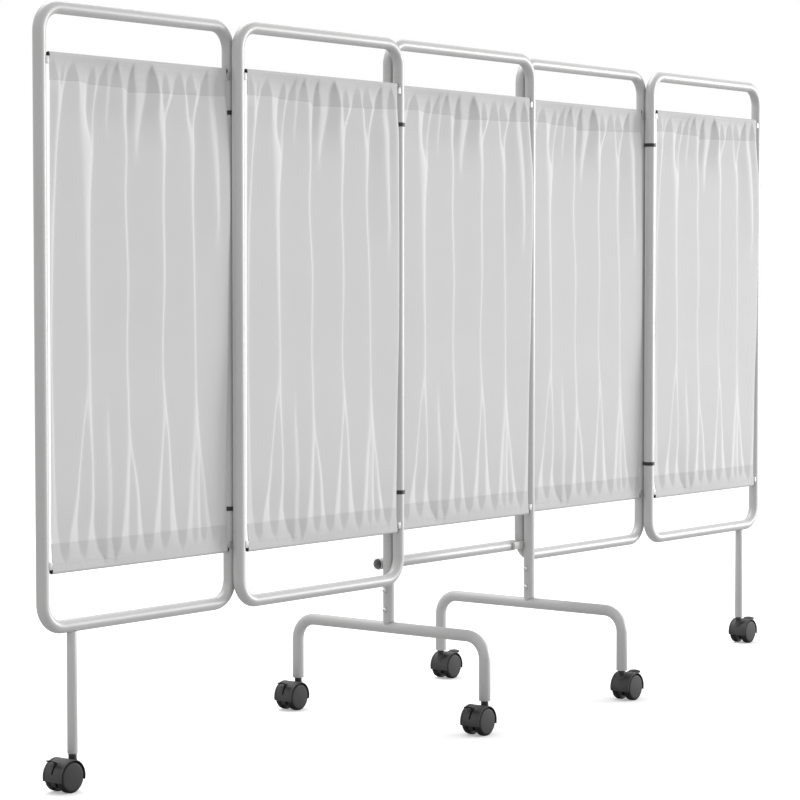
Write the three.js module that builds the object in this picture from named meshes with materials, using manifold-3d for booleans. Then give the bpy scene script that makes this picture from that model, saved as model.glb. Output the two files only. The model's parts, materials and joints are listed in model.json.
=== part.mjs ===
// Ward privacy screen on wheels: five curtained tube panels that fold in a zigzag about a wheeled base panel.
// Millimetres. +Z is up, X runs along the open screen and -Y is its front. The origin is on the floor
// under the middle of the base panel, which is the third of the five.

import * as THREE from 'three';
import { mergeVertices } from 'three/addons/utils/BufferGeometryUtils.js';
import Module from 'manifold-3d';

const wasm = await Module();
wasm.setup();

// Driving dimensions of the panels

const SCREEN_TOP = 1650;
const PANEL_BOTTOM = 335;
const PANEL_PITCH = 579;
const BASE_PITCH = 593;
const BASE_RISE = 5;
const STACK_GAP = 2;
const BEND_RADIUS = 52;
const TUBE_DIAMETER = 28;
const PANEL_WALL = 1.5;
const BASE_WALL = 2;
const DRAIN_DIAMETER = 5;
const DRAIN_OFFSET = 24;

// Outer legs, feet, posts and the cross tube

const LEG_DIAMETER = 22;
const LEG_INSET = 83;
const TUBE_END_Z = 78;
const FOOT_SPAN = 578;
const FOOT_AXIS_Z = 228;
const POST_END_Z = 234;
const SPIGOT_TOP_Z = 345;
const SPIGOT_WALL = 2;
const CROSS_AXIS_Z = 381;
const CROSS_OVERHANG = 8;
const CROSS_SETBACK = 35;
const TAB_LENGTH = 43;
const TAB_HEIGHT = 18;
const TAB_THICKNESS = 7;
const TAB_SETBACK = 10;

// Curtain rods and the cradles that carry them

const ROD_DIAMETER = 9;
const ROD_FORWARD = 8;
const TOP_ROD_DROP = 113;
const BOTTOM_ROD_RISE = 133;
const ROD_END_GAP = 1;
const CRADLE_REACH = 19;
const CRADLE_DEPTH = 10;
const CRADLE_HEIGHT = 15;
const CRADLE_ROOT = 10.5;
const CRADLE_LIP = 4;

// Hinge collars and post screws

const COLLAR_HEIGHT = 9.5;
const COLLAR_WALL = 1.4;
const TOP_COLLAR_DROP = 205;
const BOTTOM_COLLAR_RISE = 225;
const SEAT_WIDTH = 11;
const UPPER_SCREW_Z = 319;
const LOWER_SCREW_Z = 272;
const SCREW_DIAMETER = 5;
const SCREW_HEAD_DIAMETER = 11;
const SCREW_HEAD_HEIGHT = 3.5;
const SCREW_NUT_DIAMETER = 9;
const SCREW_NUT_HEIGHT = 3;

// Castors

const WHEEL_RADIUS = 34;
const WHEEL_OUTER_FACE = 27;
const WHEEL_INNER_FACE = 10.5;
const WHEEL_CHAMFER = 2;
const AXLE_RADIUS = 4;
const CASTOR_TRAIL = 25;
const HOOD_GAP = 1.3;
const HOOD_WALL = 2;
const HOOD_HALF_WIDTH = 29;
const HOOD_END_ANGLE = 14;
const WEB_HALF_WIDTH = 7;
const WEB_DROP = 20;
const BOSS_RADIUS = 10;
const BOSS_TOP_Z = 66;
const NECK_RADIUS = 8;
const STEM_PIN_RADIUS = 5;
const STEM_PIN_BOTTOM_Z = 42;
const PLUG_LENGTH = 26;
const SLOT_HALF_WIDTH = 2.5;
const SLOT_DEPTH = 12;
const SLOT_START_ANGLE = 120;
const SLOT_END_ANGLE = 168;
const LEVER_PIVOT_RADIUS = 30;
const LEVER_PIVOT_ANGLE = 132;
const LEVER_PIN_RADIUS = 1.5;
const LEVER_PIN_HALF_LENGTH = 6.5;
const LEVER_ARM_RADIUS = 4;
const PEDAL_HALF_WIDTH = 17;
const PEDAL_THICKNESS = 2.6;
const PEDAL_LENGTH = 13;
const PEDAL_ROOT_RADIUS = 42;
const PEDAL_ROOT_ANGLE = 136;
const PEDAL_UPSWEEP = 3;

// Curtains

const CLOTH_THICKNESS = 2.4;
const CURTAIN_SIDE_GAP = 21;
const POCKET_GAP = 0.4;
const POCKET_WALL = 0.8;
const FOLD_DEPTH = 16;
const STITCH_THICKNESS = 3.2;
const POCKET_STEPS = 3;

// The folds at a few heights: how far down the drop, how far the left edge stands back and the right edge
// forward, the slope of the broad facets, and where those facets start and end across the width.
const FOLD_SHARES = [
  { drop: 0.012, back: -0.12, forward: 0.06, slope: 0,
    facets: [0.116, 0.125, 0.331, 0.34, 0.551, 0.56, 0.704, 0.714, 0.867] },
  { drop: 0.053, back: -0.16, forward: 0.19, slope: 0.19,
    facets: [0.103, 0.157, 0.286, 0.395, 0.541, 0.59, 0.696, 0.747, 0.863] },
  { drop: 0.105, back: -0.12, forward: 0.55, slope: 0.17,
    facets: [0.083, 0.174, 0.28, 0.411, 0.527, 0.603, 0.667, 0.74, 0.834] },
  { drop: 0.166, back: -0.09, forward: 0.89, slope: 0.14,
    facets: [0.067, 0.177, 0.269, 0.414, 0.505, 0.602, 0.658, 0.745, 0.819] },
  { drop: 0.259, back: -0.06, forward: 1.03, slope: 0.12,
    facets: [0.046, 0.184, 0.254, 0.413, 0.479, 0.605, 0.65, 0.759, 0.812] },
  { drop: 0.413, back: -0.02, forward: 0.74, slope: 0.11,
    facets: [0.026, 0.178, 0.251, 0.413, 0.462, 0.613, 0.659, 0.793, 0.823] },
  { drop: 0.624, back: 0.02, forward: 0.41, slope: 0.1,
    facets: [0.029, 0.188, 0.246, 0.412, 0.449, 0.607, 0.653, 0.802, 0.841] },
  { drop: 0.75, back: 0.04, forward: 0.25, slope: 0.11,
    facets: [0.022, 0.153, 0.241, 0.406, 0.461, 0.59, 0.674, 0.788, 0.86] },
  { drop: 0.853, back: 0.06, forward: 0.16, slope: 0.14,
    facets: [0.028, 0.125, 0.245, 0.391, 0.494, 0.575, 0.691, 0.77, 0.89] },
  { drop: 0.949, back: 0.08, forward: 0.1, slope: 0.17,
    facets: [0.047, 0.092, 0.243, 0.369, 0.513, 0.554, 0.712, 0.754, 0.922] },
  { drop: 0.988, back: 0.06, forward: 0.06, slope: 0,
    facets: [0.052, 0.062, 0.3, 0.309, 0.526, 0.535, 0.718, 0.728, 0.932] },
];

// A curtain without folds keeps the stitched rows by its pockets.
const FLAT_ROW_SHARES = [0.012, 0.053, 0.949, 0.988];
const FLAT_SHARES = FLAT_ROW_SHARES.map((drop) => ({ drop, back: 0, forward: 0, slope: 0, facets: [] }));

// Clearance between separate pieces, the overrun of a cut, and the faceting

const GAP = 0.3;
const OVERRUN = 2;
const TUBE_SIDES = 12;
const BORE_SIDES = 8;
const BEND_STEPS = 3;
const ROUND_SIDES = 10;
const WHEEL_SIDES = 16;
const COLLAR_SIDES = 20;
const HOOD_STEPS = 9;
const WEB_STEPS = 6;
const SLOT_STEPS = 2;
const HALF = 0.5;
const HALF_TURN = 180;

// Sizes that follow

const TUBE_RADIUS = TUBE_DIAMETER * HALF;
const LEG_RADIUS = LEG_DIAMETER * HALF;
const ROD_RADIUS = ROD_DIAMETER * HALF;
const PANEL_BOTTOM_AXIS = PANEL_BOTTOM + TUBE_RADIUS;
const PANEL_TOP_AXIS = SCREEN_TOP - TUBE_RADIUS;
const TOP_ROD_Z = SCREEN_TOP - TOP_ROD_DROP;
const BOTTOM_ROD_Z = PANEL_BOTTOM + BOTTOM_ROD_RISE;
const TOP_COLLAR_Z = SCREEN_TOP - TOP_COLLAR_DROP;
const BOTTOM_COLLAR_Z = PANEL_BOTTOM + BOTTOM_COLLAR_RISE;
const STACK_PITCH = TUBE_DIAMETER + STACK_GAP;
const POST_X = BASE_PITCH * HALF;
const OUTER_JOINT_X = POST_X + PANEL_PITCH;
const LEG_X = OUTER_JOINT_X + PANEL_PITCH - LEG_INSET;
const CROSS_Y = TUBE_DIAMETER + GAP;
const HOOD_HALF_STEP = (HALF_TURN * HALF + HOOD_END_ANGLE) / HOOD_STEPS;
const HOOD_INNER_RADIUS = (WHEEL_RADIUS + HOOD_GAP) / Math.cos(THREE.MathUtils.degToRad(HOOD_HALF_STEP));
const HOOD_OUTER_RADIUS = HOOD_INNER_RADIUS + HOOD_WALL;

const X_AXIS = new THREE.Vector3(1, 0, 0);
const Y_AXIS = new THREE.Vector3(0, 1, 0);
const Z_AXIS = new THREE.Vector3(0, 0, 1);

const finishes = {
  tube: { color: 0xc9c8c8, roughness: 0.42, metalness: 0.1 },
  plastic: { color: 0x3d3d3f, roughness: 0.55, metalness: 0 },
  wheel: { color: 0x353537, roughness: 0.62, metalness: 0 },
  black: { color: 0x1b1b1c, roughness: 0.5, metalness: 0.1 },
  steel: { color: 0xa9abad, roughness: 0.35, metalness: 0.9 },
  cloth: { color: 0xe6e6e4, roughness: 0.9, metalness: 0 },
};

const screen = new THREE.Group();

// Adds one named piece, with a material of its own, to a group.
function place(name, solidShape, finish, group = screen) {
  const mesh = new THREE.Mesh(toGeometry(solidShape), new THREE.MeshStandardMaterial(finishes[finish]));
  mesh.name = name;
  group.add(mesh);
  return mesh;
}

// Turns a closed geometry into a solid: shared corners are merged and slivers at a pole are dropped.
function toSolid(geometry) {
  const bare = geometry.clone();
  for (const attribute of ['normal', 'uv']) {
    bare.deleteAttribute(attribute);
  }
  const merged = mergeVertices(bare);
  const index = merged.index.array;
  const corners = [];
  for (let i = 0; i < index.length; i += 3) {
    const [a, b, c] = [index[i], index[i + 1], index[i + 2]];
    if (a !== b && b !== c && c !== a) {
      corners.push(a, b, c);
    }
  }
  const vertProperties = new Float32Array(merged.attributes.position.array);
  const triVerts = new Uint32Array(corners);
  return new wasm.Manifold(new wasm.Mesh({ numProp: 3, vertProperties, triVerts }));
}

function toGeometry(solidShape) {
  const { vertProperties, triVerts } = solidShape.getMesh();
  const geometry = new THREE.BufferGeometry();
  geometry.setAttribute('position', new THREE.BufferAttribute(new Float32Array(vertProperties), 3));
  geometry.setIndex(new THREE.BufferAttribute(new Uint32Array(triVerts), 1));
  geometry.computeVertexNormals();
  return geometry;
}

function circlePoints(sides, radius, turn = 0) {
  const points = [];
  for (let i = 0; i < sides; i += 1) {
    const angle = turn + (i / sides) * Math.PI * 2;
    points.push(new THREE.Vector2(radius * Math.cos(angle), radius * Math.sin(angle)));
  }
  return points;
}

// A curve whose even steps fall on chosen stations, so that straight runs take one step.
class StationPath extends THREE.Curve {
  constructor(stations) {
    super();
    this.stations = stations;
  }

  stationAt(share) {
    const last = this.stations.length - 1;
    return this.stations[Math.min(last, Math.round(share * last))];
  }

  getPoint(share) {
    return this.stationAt(share).point.clone();
  }

  getPointAt(share) {
    return this.getPoint(share);
  }

  getTangentAt(share) {
    return this.stationAt(share).tangent.clone();
  }
}

// The centreline of a bent tube through corner points, with one bend radius.
function bentPath(corners, radius) {
  const stations = [];
  for (let i = 0; i < corners.length; i += 1) {
    const before = corners[i - 1];
    const here = corners[i];
    const after = corners[i + 1];
    if (!before || !after) {
      const tangent = before ? here.clone().sub(before) : after.clone().sub(here);
      stations.push({ point: here, tangent: tangent.normalize() });
      continue;
    }
    const arriving = here.clone().sub(before).normalize();
    const leaving = after.clone().sub(here).normalize();
    const centre = here.clone().addScaledVector(arriving, -radius).addScaledVector(leaving, radius);
    for (let step = 0; step <= BEND_STEPS; step += 1) {
      const angle = (step / BEND_STEPS) * Math.PI * HALF;
      const point = centre.clone();
      point.addScaledVector(leaving, -radius * Math.cos(angle));
      point.addScaledVector(arriving, radius * Math.sin(angle));
      const tangent = arriving.clone().multiplyScalar(Math.cos(angle));
      tangent.addScaledVector(leaving, Math.sin(angle));
      stations.push({ point, tangent: tangent.normalize() });
    }
  }
  return new StationPath(stations);
}

// Draws a tube's ring-shaped section along its centreline.
function sweepTube(extrudePath, outerRadius, wall) {
  const section = new THREE.Shape(circlePoints(TUBE_SIDES, outerRadius));
  const boreCorner = (outerRadius - wall) / Math.cos(Math.PI / BORE_SIDES);
  section.holes.push(new THREE.Path(circlePoints(BORE_SIDES, boreCorner)));
  return new THREE.ExtrudeGeometry(section, { steps: extrudePath.stations.length - 1, extrudePath });
}

function tube(corners, outerRadius, wall) {
  return toSolid(sweepTube(bentPath(corners, BEND_RADIUS), outerRadius, wall));
}

// A tube that meets itself: it starts and ends at one place on a straight run, without end faces.
function loopTube(corners, outerRadius, wall) {
  const swept = sweepTube(bentPath(corners, BEND_RADIUS), outerRadius, wall);
  const sides = swept.groups.at(-1);
  const positions = swept.attributes.position.array.slice(sides.start * 3, (sides.start + sides.count) * 3);
  const geometry = new THREE.BufferGeometry();
  geometry.setAttribute('position', new THREE.BufferAttribute(positions, 3));
  return toSolid(geometry);
}

function point(x, y, z) {
  return new THREE.Vector3(x, y, z);
}

// A straight round bar between two heights of one axis, along X, Y or Z.
function bar(axis, radius, from, to, sides = ROUND_SIDES) {
  const geometry = new THREE.CylinderGeometry(radius, radius, to - from, sides);
  geometry.translate(0, (from + to) * HALF, 0);
  geometry.applyQuaternion(new THREE.Quaternion().setFromUnitVectors(Y_AXIS, axis));
  return toSolid(geometry);
}

// A box given by its lowest and highest corners.
function block(low, high) {
  const geometry = new THREE.BoxGeometry(high.x - low.x, high.y - low.y, high.z - low.z);
  geometry.translate((low.x + high.x) * HALF, (low.y + high.y) * HALF, (low.z + high.z) * HALF);
  return toSolid(geometry);
}

// An outline in X and Z, given thickness along Y and centred on Y = 0.
function slab(outline, halfWidth) {
  const options = { depth: halfWidth * 2, bevelEnabled: false };
  const geometry = new THREE.ExtrudeGeometry(new THREE.Shape(outline), options);
  geometry.translate(0, 0, -halfWidth);
  geometry.rotateX(Math.PI * HALF);
  return toSolid(geometry);
}

// Panels

// The cradle at a rod's end: a block on the upright's side with a round seat for the rod.
function cradle(side, width, rodZ, away) {
  const near = CRADLE_ROOT;
  const far = CRADLE_REACH;
  const x = side < 0 ? [near, far] : [width - far, width - near];
  const seat = rodZ - away * CRADLE_LIP;
  const end = rodZ - away * (ROD_RADIUS + CRADLE_HEIGHT);
  const front = -ROD_FORWARD - CRADLE_DEPTH * HALF;
  const low = point(x[0], front, Math.min(seat, end));
  const high = point(x[1], front + CRADLE_DEPTH, Math.max(seat, end));
  const rodRoom = bar(X_AXIS, ROD_RADIUS + GAP, 0, width, BORE_SIDES).translate([0, -ROD_FORWARD, rodZ]);
  return block(low, high).subtract(rodRoom);
}

function addCradles(frame, width) {
  let whole = frame;
  for (const side of [-1, 1]) {
    whole = whole.add(cradle(side, width, TOP_ROD_Z, 1));
    whole = whole.add(cradle(side, width, BOTTOM_ROD_Z, -1));
  }
  return whole;
}

// A closed frame with rounded corners and a drain hole under its bottom tube.
function outerFrame(width) {
  const middle = width * HALF;
  const loop = loopTube([
    point(middle, 0, PANEL_BOTTOM_AXIS),
    point(width, 0, PANEL_BOTTOM_AXIS),
    point(width, 0, PANEL_TOP_AXIS),
    point(0, 0, PANEL_TOP_AXIS),
    point(0, 0, PANEL_BOTTOM_AXIS),
    point(middle, 0, PANEL_BOTTOM_AXIS),
  ], TUBE_RADIUS, PANEL_WALL);
  const drain = bar(Z_AXIS, DRAIN_DIAMETER * HALF, PANEL_BOTTOM - OVERRUN, PANEL_BOTTOM_AXIS, BORE_SIDES);
  return addCradles(loop.subtract(drain.translate([middle + DRAIN_OFFSET, 0, 0])), width);
}

// The leg under an outer panel, cut to sit on the round of the bottom tube.
function outerLeg(x) {
  const leg = tube([point(x, 0, TUBE_END_Z), point(x, 0, PANEL_BOTTOM_AXIS)], LEG_RADIUS, PANEL_WALL);
  const seat = bar(X_AXIS, TUBE_RADIUS - PANEL_WALL * HALF, x - TUBE_DIAMETER, x + TUBE_DIAMETER, TUBE_SIDES);
  return leg.subtract(seat.translate([0, 0, PANEL_BOTTOM_AXIS]));
}

// The base panel: an upside-down U whose uprights run on down as posts.
function baseFrame(width) {
  const topAxis = PANEL_TOP_AXIS + BASE_RISE;
  const arch = tube([
    point(0, 0, POST_END_Z),
    point(0, 0, topAxis),
    point(width, 0, topAxis),
    point(width, 0, POST_END_Z),
  ], TUBE_RADIUS, BASE_WALL);
  let whole = addCradles(arch, width);
  for (const edge of [0, width]) {
    const saddle = bar(Y_AXIS, TUBE_RADIUS + GAP, -TUBE_DIAMETER, TUBE_DIAMETER, TUBE_SIDES);
    whole = whole.subtract(saddle.translate([edge, 0, FOOT_AXIS_Z]));
    for (const z of [UPPER_SCREW_Z, LOWER_SCREW_Z]) {
      const reach = TUBE_RADIUS + OVERRUN;
      const hole = bar(X_AXIS, SCREW_DIAMETER * HALF + GAP, edge - reach, edge + reach, BORE_SIDES);
      whole = whole.subtract(hole.translate([0, 0, z]));
    }
  }
  return whole;
}

function rod(width, z) {
  const clearance = Math.sqrt(TUBE_RADIUS ** 2 - (ROD_FORWARD - ROD_RADIUS) ** 2) + ROD_END_GAP;
  return bar(X_AXIS, ROD_RADIUS, clearance, width - clearance, BORE_SIDES).translate([0, -ROD_FORWARD, z]);
}

// One row of a curtain's folds: the places across it where a facet starts or ends, and its offset at each.
// A facet comes forward towards +X, and the narrow bands between facets share the way back.
function foldRow(row, run) {
  const across = [0, ...row.facets, 1].map((share) => share * run);
  const isFacet = (strip) => strip % 2 === 1;
  const widths = across.slice(1).map((x, strip) => x - across[strip]);
  const facetRun = widths.reduce((sum, width, strip) => sum + (isFacet(strip) ? width : 0), 0);
  const change = (row.back + row.forward) * FOLD_DEPTH;
  const climb = (facetRun * row.slope - change) / (run - facetRun);
  const offsets = [row.back * FOLD_DEPTH];
  widths.forEach((width, strip) => {
    offsets.push(offsets[strip] + width * (isFacet(strip) ? -row.slope : climb));
  });
  return { across, offsets, z: TOP_ROD_Z - row.drop * (TOP_ROD_Z - BOTTOM_ROD_Z) };
}

// One column of a curtain: over the top pocket, down the front, round the bottom pocket and up the back.
function curtainColumn(rows, column) {
  const pocket = (ROD_RADIUS + POCKET_GAP + POCKET_WALL) / Math.cos((Math.PI * HALF) / POCKET_STEPS);
  const roundPocket = (row, z, start) => Array.from({ length: POCKET_STEPS + 1 }, (_, step) => {
    const angle = start + (step / POCKET_STEPS) * Math.PI;
    return point(row.across[column], pocket * Math.cos(angle) - ROD_FORWARD, pocket * Math.sin(angle) + z);
  });
  const skin = (side) => rows.map((row, i) => {
    const stitched = i === 0 || i === rows.length - 1;
    const half = (stitched ? STITCH_THICKNESS : CLOTH_THICKNESS) * HALF;
    return point(row.across[column], row.offsets[column] - ROD_FORWARD + side * half, row.z);
  });
  return [
    ...roundPocket(rows[0], TOP_ROD_Z, 0),
    ...skin(-1),
    ...roundPocket(rows.at(-1), BOTTOM_ROD_Z, Math.PI),
    ...skin(1).reverse(),
  ];
}

// A curtain: columns of skin joined along X, with a tunnel for each rod that is open at both ends.
function curtain(width, folds) {
  const run = width - CURTAIN_SIDE_GAP * 2;
  const rows = folds.map((row) => foldRow(row, run));
  const columns = rows[0].across.map((_, column) => curtainColumn(rows, column));
  const positions = columns.flat().flatMap((corner) => [corner.x + CURTAIN_SIDE_GAP, corner.y, corner.z]);
  const around = columns[0].length;
  const faces = [];
  for (let column = 0; column < columns.length - 1; column += 1) {
    for (let i = 0; i < around; i += 1) {
      const a = column * around + i;
      const b = column * around + ((i + 1) % around);
      faces.push(a, b, b + around, a, b + around, a + around);
    }
  }
  const tunnelCorner = (ROD_RADIUS + POCKET_GAP) / Math.cos(Math.PI / BORE_SIDES);
  const tunnels = [TOP_ROD_Z, BOTTOM_ROD_Z].map((z) => circlePoints(BORE_SIDES, tunnelCorner)
    .map((corner) => new THREE.Vector2(corner.x - ROD_FORWARD, corner.y + z)));
  const leftTunnels = columns.length * around;
  const rightTunnels = leftTunnels + tunnels.flat().length;
  for (const x of [0, run]) {
    tunnels.flat().forEach((corner) => positions.push(x + CURTAIN_SIDE_GAP, corner.x, corner.y));
  }
  for (let ring = 0; ring < tunnels.length; ring += 1) {
    for (let i = 0; i < BORE_SIDES; i += 1) {
      const a = leftTunnels + ring * BORE_SIDES + i;
      const b = leftTunnels + ring * BORE_SIDES + ((i + 1) % BORE_SIDES);
      const across = rightTunnels - leftTunnels;
      faces.push(a, b + across, b, a, a + across, b + across);
    }
  }
  const outline = (column) => column.map((corner) => new THREE.Vector2(corner.y, corner.z));
  closeEnd(outline(columns[0]), tunnels, 0, leftTunnels, faces, false);
  closeEnd(outline(columns.at(-1)), tunnels, (columns.length - 1) * around, rightTunnels, faces, true);
  const geometry = new THREE.BufferGeometry();
  geometry.setAttribute('position', new THREE.Float32BufferAttribute(positions, 3));
  geometry.setIndex(faces);
  return toSolid(geometry);
}

// Fills one end of a curtain between its outline and its two tunnels.
function closeEnd(outline, tunnels, outlineStart, tunnelStart, faces, facesForward) {
  const lookup = [];
  outline.forEach((corner, i) => lookup.push(outlineStart + i));
  tunnels.forEach((ring, r) => ring.forEach((corner, i) => lookup.push(tunnelStart + r * BORE_SIDES + i)));
  for (const [a, b, c] of THREE.ShapeUtils.triangulateShape(outline, tunnels)) {
    const triangle = facesForward ? [a, b, c] : [a, c, b];
    faces.push(...triangle.map((corner) => lookup[corner]));
  }
}

// Base pieces

// A foot: a bent tube that arches over two castors, with the spigot that enters the post.
function foot() {
  const reach = FOOT_SPAN * HALF;
  const arch = tube([
    point(0, -reach, TUBE_END_Z),
    point(0, -reach, FOOT_AXIS_Z),
    point(0, reach, FOOT_AXIS_Z),
    point(0, reach, TUBE_END_Z),
  ], TUBE_RADIUS, BASE_WALL);
  const spigotRadius = TUBE_RADIUS - BASE_WALL - GAP;
  const riser = tube([point(0, 0, FOOT_AXIS_Z), point(0, 0, SPIGOT_TOP_Z)], spigotRadius, SPIGOT_WALL);
  const saddle = bar(Y_AXIS, TUBE_RADIUS - BASE_WALL * HALF, -TUBE_DIAMETER, TUBE_DIAMETER, TUBE_SIDES);
  let whole = arch.add(riser.subtract(saddle.translate([0, 0, FOOT_AXIS_Z])));
  for (const z of [UPPER_SCREW_Z, LOWER_SCREW_Z]) {
    const hole = bar(X_AXIS, SCREW_DIAMETER * HALF + GAP, -TUBE_DIAMETER, TUBE_DIAMETER, BORE_SIDES);
    whole = whole.subtract(hole.translate([0, 0, z]));
  }
  return whole;
}

// The cross tube behind the posts, with the flat tab that reaches the second post.
function crossTube() {
  const right = POST_X - CROSS_SETBACK;
  const pipe = tube([point(-POST_X - CROSS_OVERHANG, 0, 0), point(right, 0, 0)], TUBE_RADIUS, BASE_WALL);
  const tabEnd = POST_X - TAB_SETBACK;
  const tabFront = TUBE_RADIUS - TAB_THICKNESS + BASE_WALL - GAP;
  const tab = block(
    point(tabEnd - TAB_LENGTH, tabFront, CROSS_AXIS_Z - TAB_HEIGHT * HALF),
    point(tabEnd, tabFront + TAB_THICKNESS, CROSS_AXIS_Z + TAB_HEIGHT * HALF),
  );
  const [below, above] = [CROSS_AXIS_Z - TAB_HEIGHT, CROSS_AXIS_Z + TAB_HEIGHT];
  const postRoom = bar(Z_AXIS, TUBE_RADIUS + GAP, below, above, TUBE_SIDES).translate([POST_X, 0, 0]);
  return pipe.translate([0, CROSS_Y, CROSS_AXIS_Z]).add(tab.subtract(postRoom));
}

// A screw through post and spigot, with a domed head on -X and a cap nut on +X.
function postScrew() {
  const face = TUBE_RADIUS + GAP;
  const profile = [
    [0, -face - SCREW_HEAD_HEIGHT],
    [SCREW_HEAD_DIAMETER * HALF * HALF, -face - SCREW_HEAD_HEIGHT],
    [SCREW_HEAD_DIAMETER * HALF, -face],
    [SCREW_DIAMETER * HALF, -face],
    [SCREW_DIAMETER * HALF, face],
    [SCREW_NUT_DIAMETER * HALF, face],
    [SCREW_NUT_DIAMETER * HALF * HALF, face + SCREW_NUT_HEIGHT],
    [0, face + SCREW_NUT_HEIGHT],
  ].map(([r, h]) => new THREE.Vector2(r, h));
  const geometry = new THREE.LatheGeometry(profile, BORE_SIDES);
  geometry.applyQuaternion(new THREE.Quaternion().setFromUnitVectors(Y_AXIS, X_AXIS));
  return toSolid(geometry);
}

// A hinge collar round one upright, seated on the upright beside it at one stack pitch along Y.
function hingeCollar(partnerSide) {
  const outward = 1 / Math.cos(Math.PI / COLLAR_SIDES);
  const bore = (TUBE_RADIUS + GAP) * outward;
  const half = COLLAR_HEIGHT * HALF;
  const seatReach = partnerSide * STACK_PITCH;
  const ring = bar(Z_AXIS, bore + COLLAR_WALL, -half, half, COLLAR_SIDES);
  const seat = block(
    point(-SEAT_WIDTH * HALF, Math.min(0, seatReach), -half),
    point(SEAT_WIDTH * HALF, Math.max(0, seatReach), half),
  );
  const room = bar(Z_AXIS, bore, -COLLAR_HEIGHT, COLLAR_HEIGHT, COLLAR_SIDES);
  return ring.add(seat).subtract(room).subtract(room.translate([0, seatReach, 0]));
}

// Castors: the stem's axis is the origin, on the floor, and the wheels trail towards -X

function castorStem(plugRadius) {
  const profile = [
    [0, STEM_PIN_BOTTOM_Z],
    [STEM_PIN_RADIUS, STEM_PIN_BOTTOM_Z],
    [STEM_PIN_RADIUS, BOSS_TOP_Z + GAP],
    [NECK_RADIUS, BOSS_TOP_Z + GAP],
    [NECK_RADIUS, TUBE_END_Z - GAP],
    [plugRadius, TUBE_END_Z - GAP],
    [plugRadius, TUBE_END_Z + PLUG_LENGTH],
    [0, TUBE_END_Z + PLUG_LENGTH],
  ].map(([r, z]) => new THREE.Vector2(r, z));
  const geometry = new THREE.LatheGeometry(profile, ROUND_SIDES);
  geometry.rotateX(Math.PI * HALF);
  return toSolid(geometry);
}

// A place on the castor's side view, at a radius and an angle in degrees about the axle.
function aboutAxle(radius, degrees) {
  const angle = THREE.MathUtils.degToRad(degrees);
  return new THREE.Vector2(radius * Math.cos(angle) - CASTOR_TRAIL, radius * Math.sin(angle) + WHEEL_RADIUS);
}

function arcPoints(radius, fromDegrees, toDegrees, steps) {
  const points = [];
  for (let i = 0; i <= steps; i += 1) {
    points.push(aboutAxle(radius, fromDegrees + ((toDegrees - fromDegrees) * i) / steps));
  }
  return points;
}

function castorHood() {
  const from = -HOOD_END_ANGLE;
  const to = HALF_TURN + HOOD_END_ANGLE;
  const shell = slab([
    ...arcPoints(HOOD_OUTER_RADIUS, from, to, HOOD_STEPS),
    ...arcPoints(HOOD_INNER_RADIUS, to, from, HOOD_STEPS),
  ], HOOD_HALF_WIDTH);
  const dropAngle = THREE.MathUtils.radToDeg(Math.asin(WEB_DROP / HOOD_OUTER_RADIUS));
  const webRadius = HOOD_OUTER_RADIUS - HOOD_WALL * HALF;
  const web = slab(arcPoints(webRadius, -dropAngle, HALF_TURN + dropAngle, WEB_STEPS), WEB_HALF_WIDTH);
  const boss = bar(Z_AXIS, BOSS_RADIUS, STEM_PIN_BOTTOM_Z, BOSS_TOP_Z);
  const socket = bar(Z_AXIS, STEM_PIN_RADIUS + GAP, STEM_PIN_BOTTOM_Z - GAP, BOSS_TOP_Z + OVERRUN);
  const neckRoom = bar(Z_AXIS, NECK_RADIUS + HOOD_GAP, BOSS_TOP_Z, TUBE_END_Z);
  const axleBore = bar(Y_AXIS, AXLE_RADIUS + GAP * 2, -WEB_HALF_WIDTH * 2, WEB_HALF_WIDTH * 2, BORE_SIDES)
    .translate([-CASTOR_TRAIL, 0, WHEEL_RADIUS]);
  const slot = slab([
    ...arcPoints(HOOD_OUTER_RADIUS + OVERRUN, SLOT_START_ANGLE, SLOT_END_ANGLE, SLOT_STEPS),
    ...arcPoints(HOOD_OUTER_RADIUS - SLOT_DEPTH, SLOT_END_ANGLE, SLOT_START_ANGLE, SLOT_STEPS),
  ], SLOT_HALF_WIDTH);
  const pivot = aboutAxle(LEVER_PIVOT_RADIUS, LEVER_PIVOT_ANGLE);
  const pinReach = WEB_HALF_WIDTH + OVERRUN;
  const pinBore = bar(Y_AXIS, LEVER_PIN_RADIUS + GAP, -pinReach, pinReach, BORE_SIDES)
    .translate([pivot.x, 0, pivot.y]);
  const body = shell.add(web).add(boss);
  return body.subtract(socket).subtract(neckRoom).subtract(axleBore).subtract(slot).subtract(pinBore);
}

// Two wheels on one axle, turned so that a flat of each tread lies on the floor.
function castorWheels() {
  const corner = WHEEL_RADIUS / Math.cos(Math.PI / WHEEL_SIDES);
  const side = (sign) => [
    [0, sign * WHEEL_OUTER_FACE],
    [corner - WHEEL_CHAMFER, sign * WHEEL_OUTER_FACE],
    [corner, sign * (WHEEL_OUTER_FACE - WHEEL_CHAMFER)],
    [corner, sign * WHEEL_INNER_FACE],
    [AXLE_RADIUS, sign * WHEEL_INNER_FACE],
  ];
  const profile = [...side(-1), ...side(1).reverse()].map(([r, y]) => new THREE.Vector2(r, y));
  const geometry = new THREE.LatheGeometry(profile, WHEEL_SIDES);
  geometry.rotateY(Math.PI / WHEEL_SIDES);
  return toSolid(geometry).translate([-CASTOR_TRAIL, 0, WHEEL_RADIUS]);
}

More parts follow.
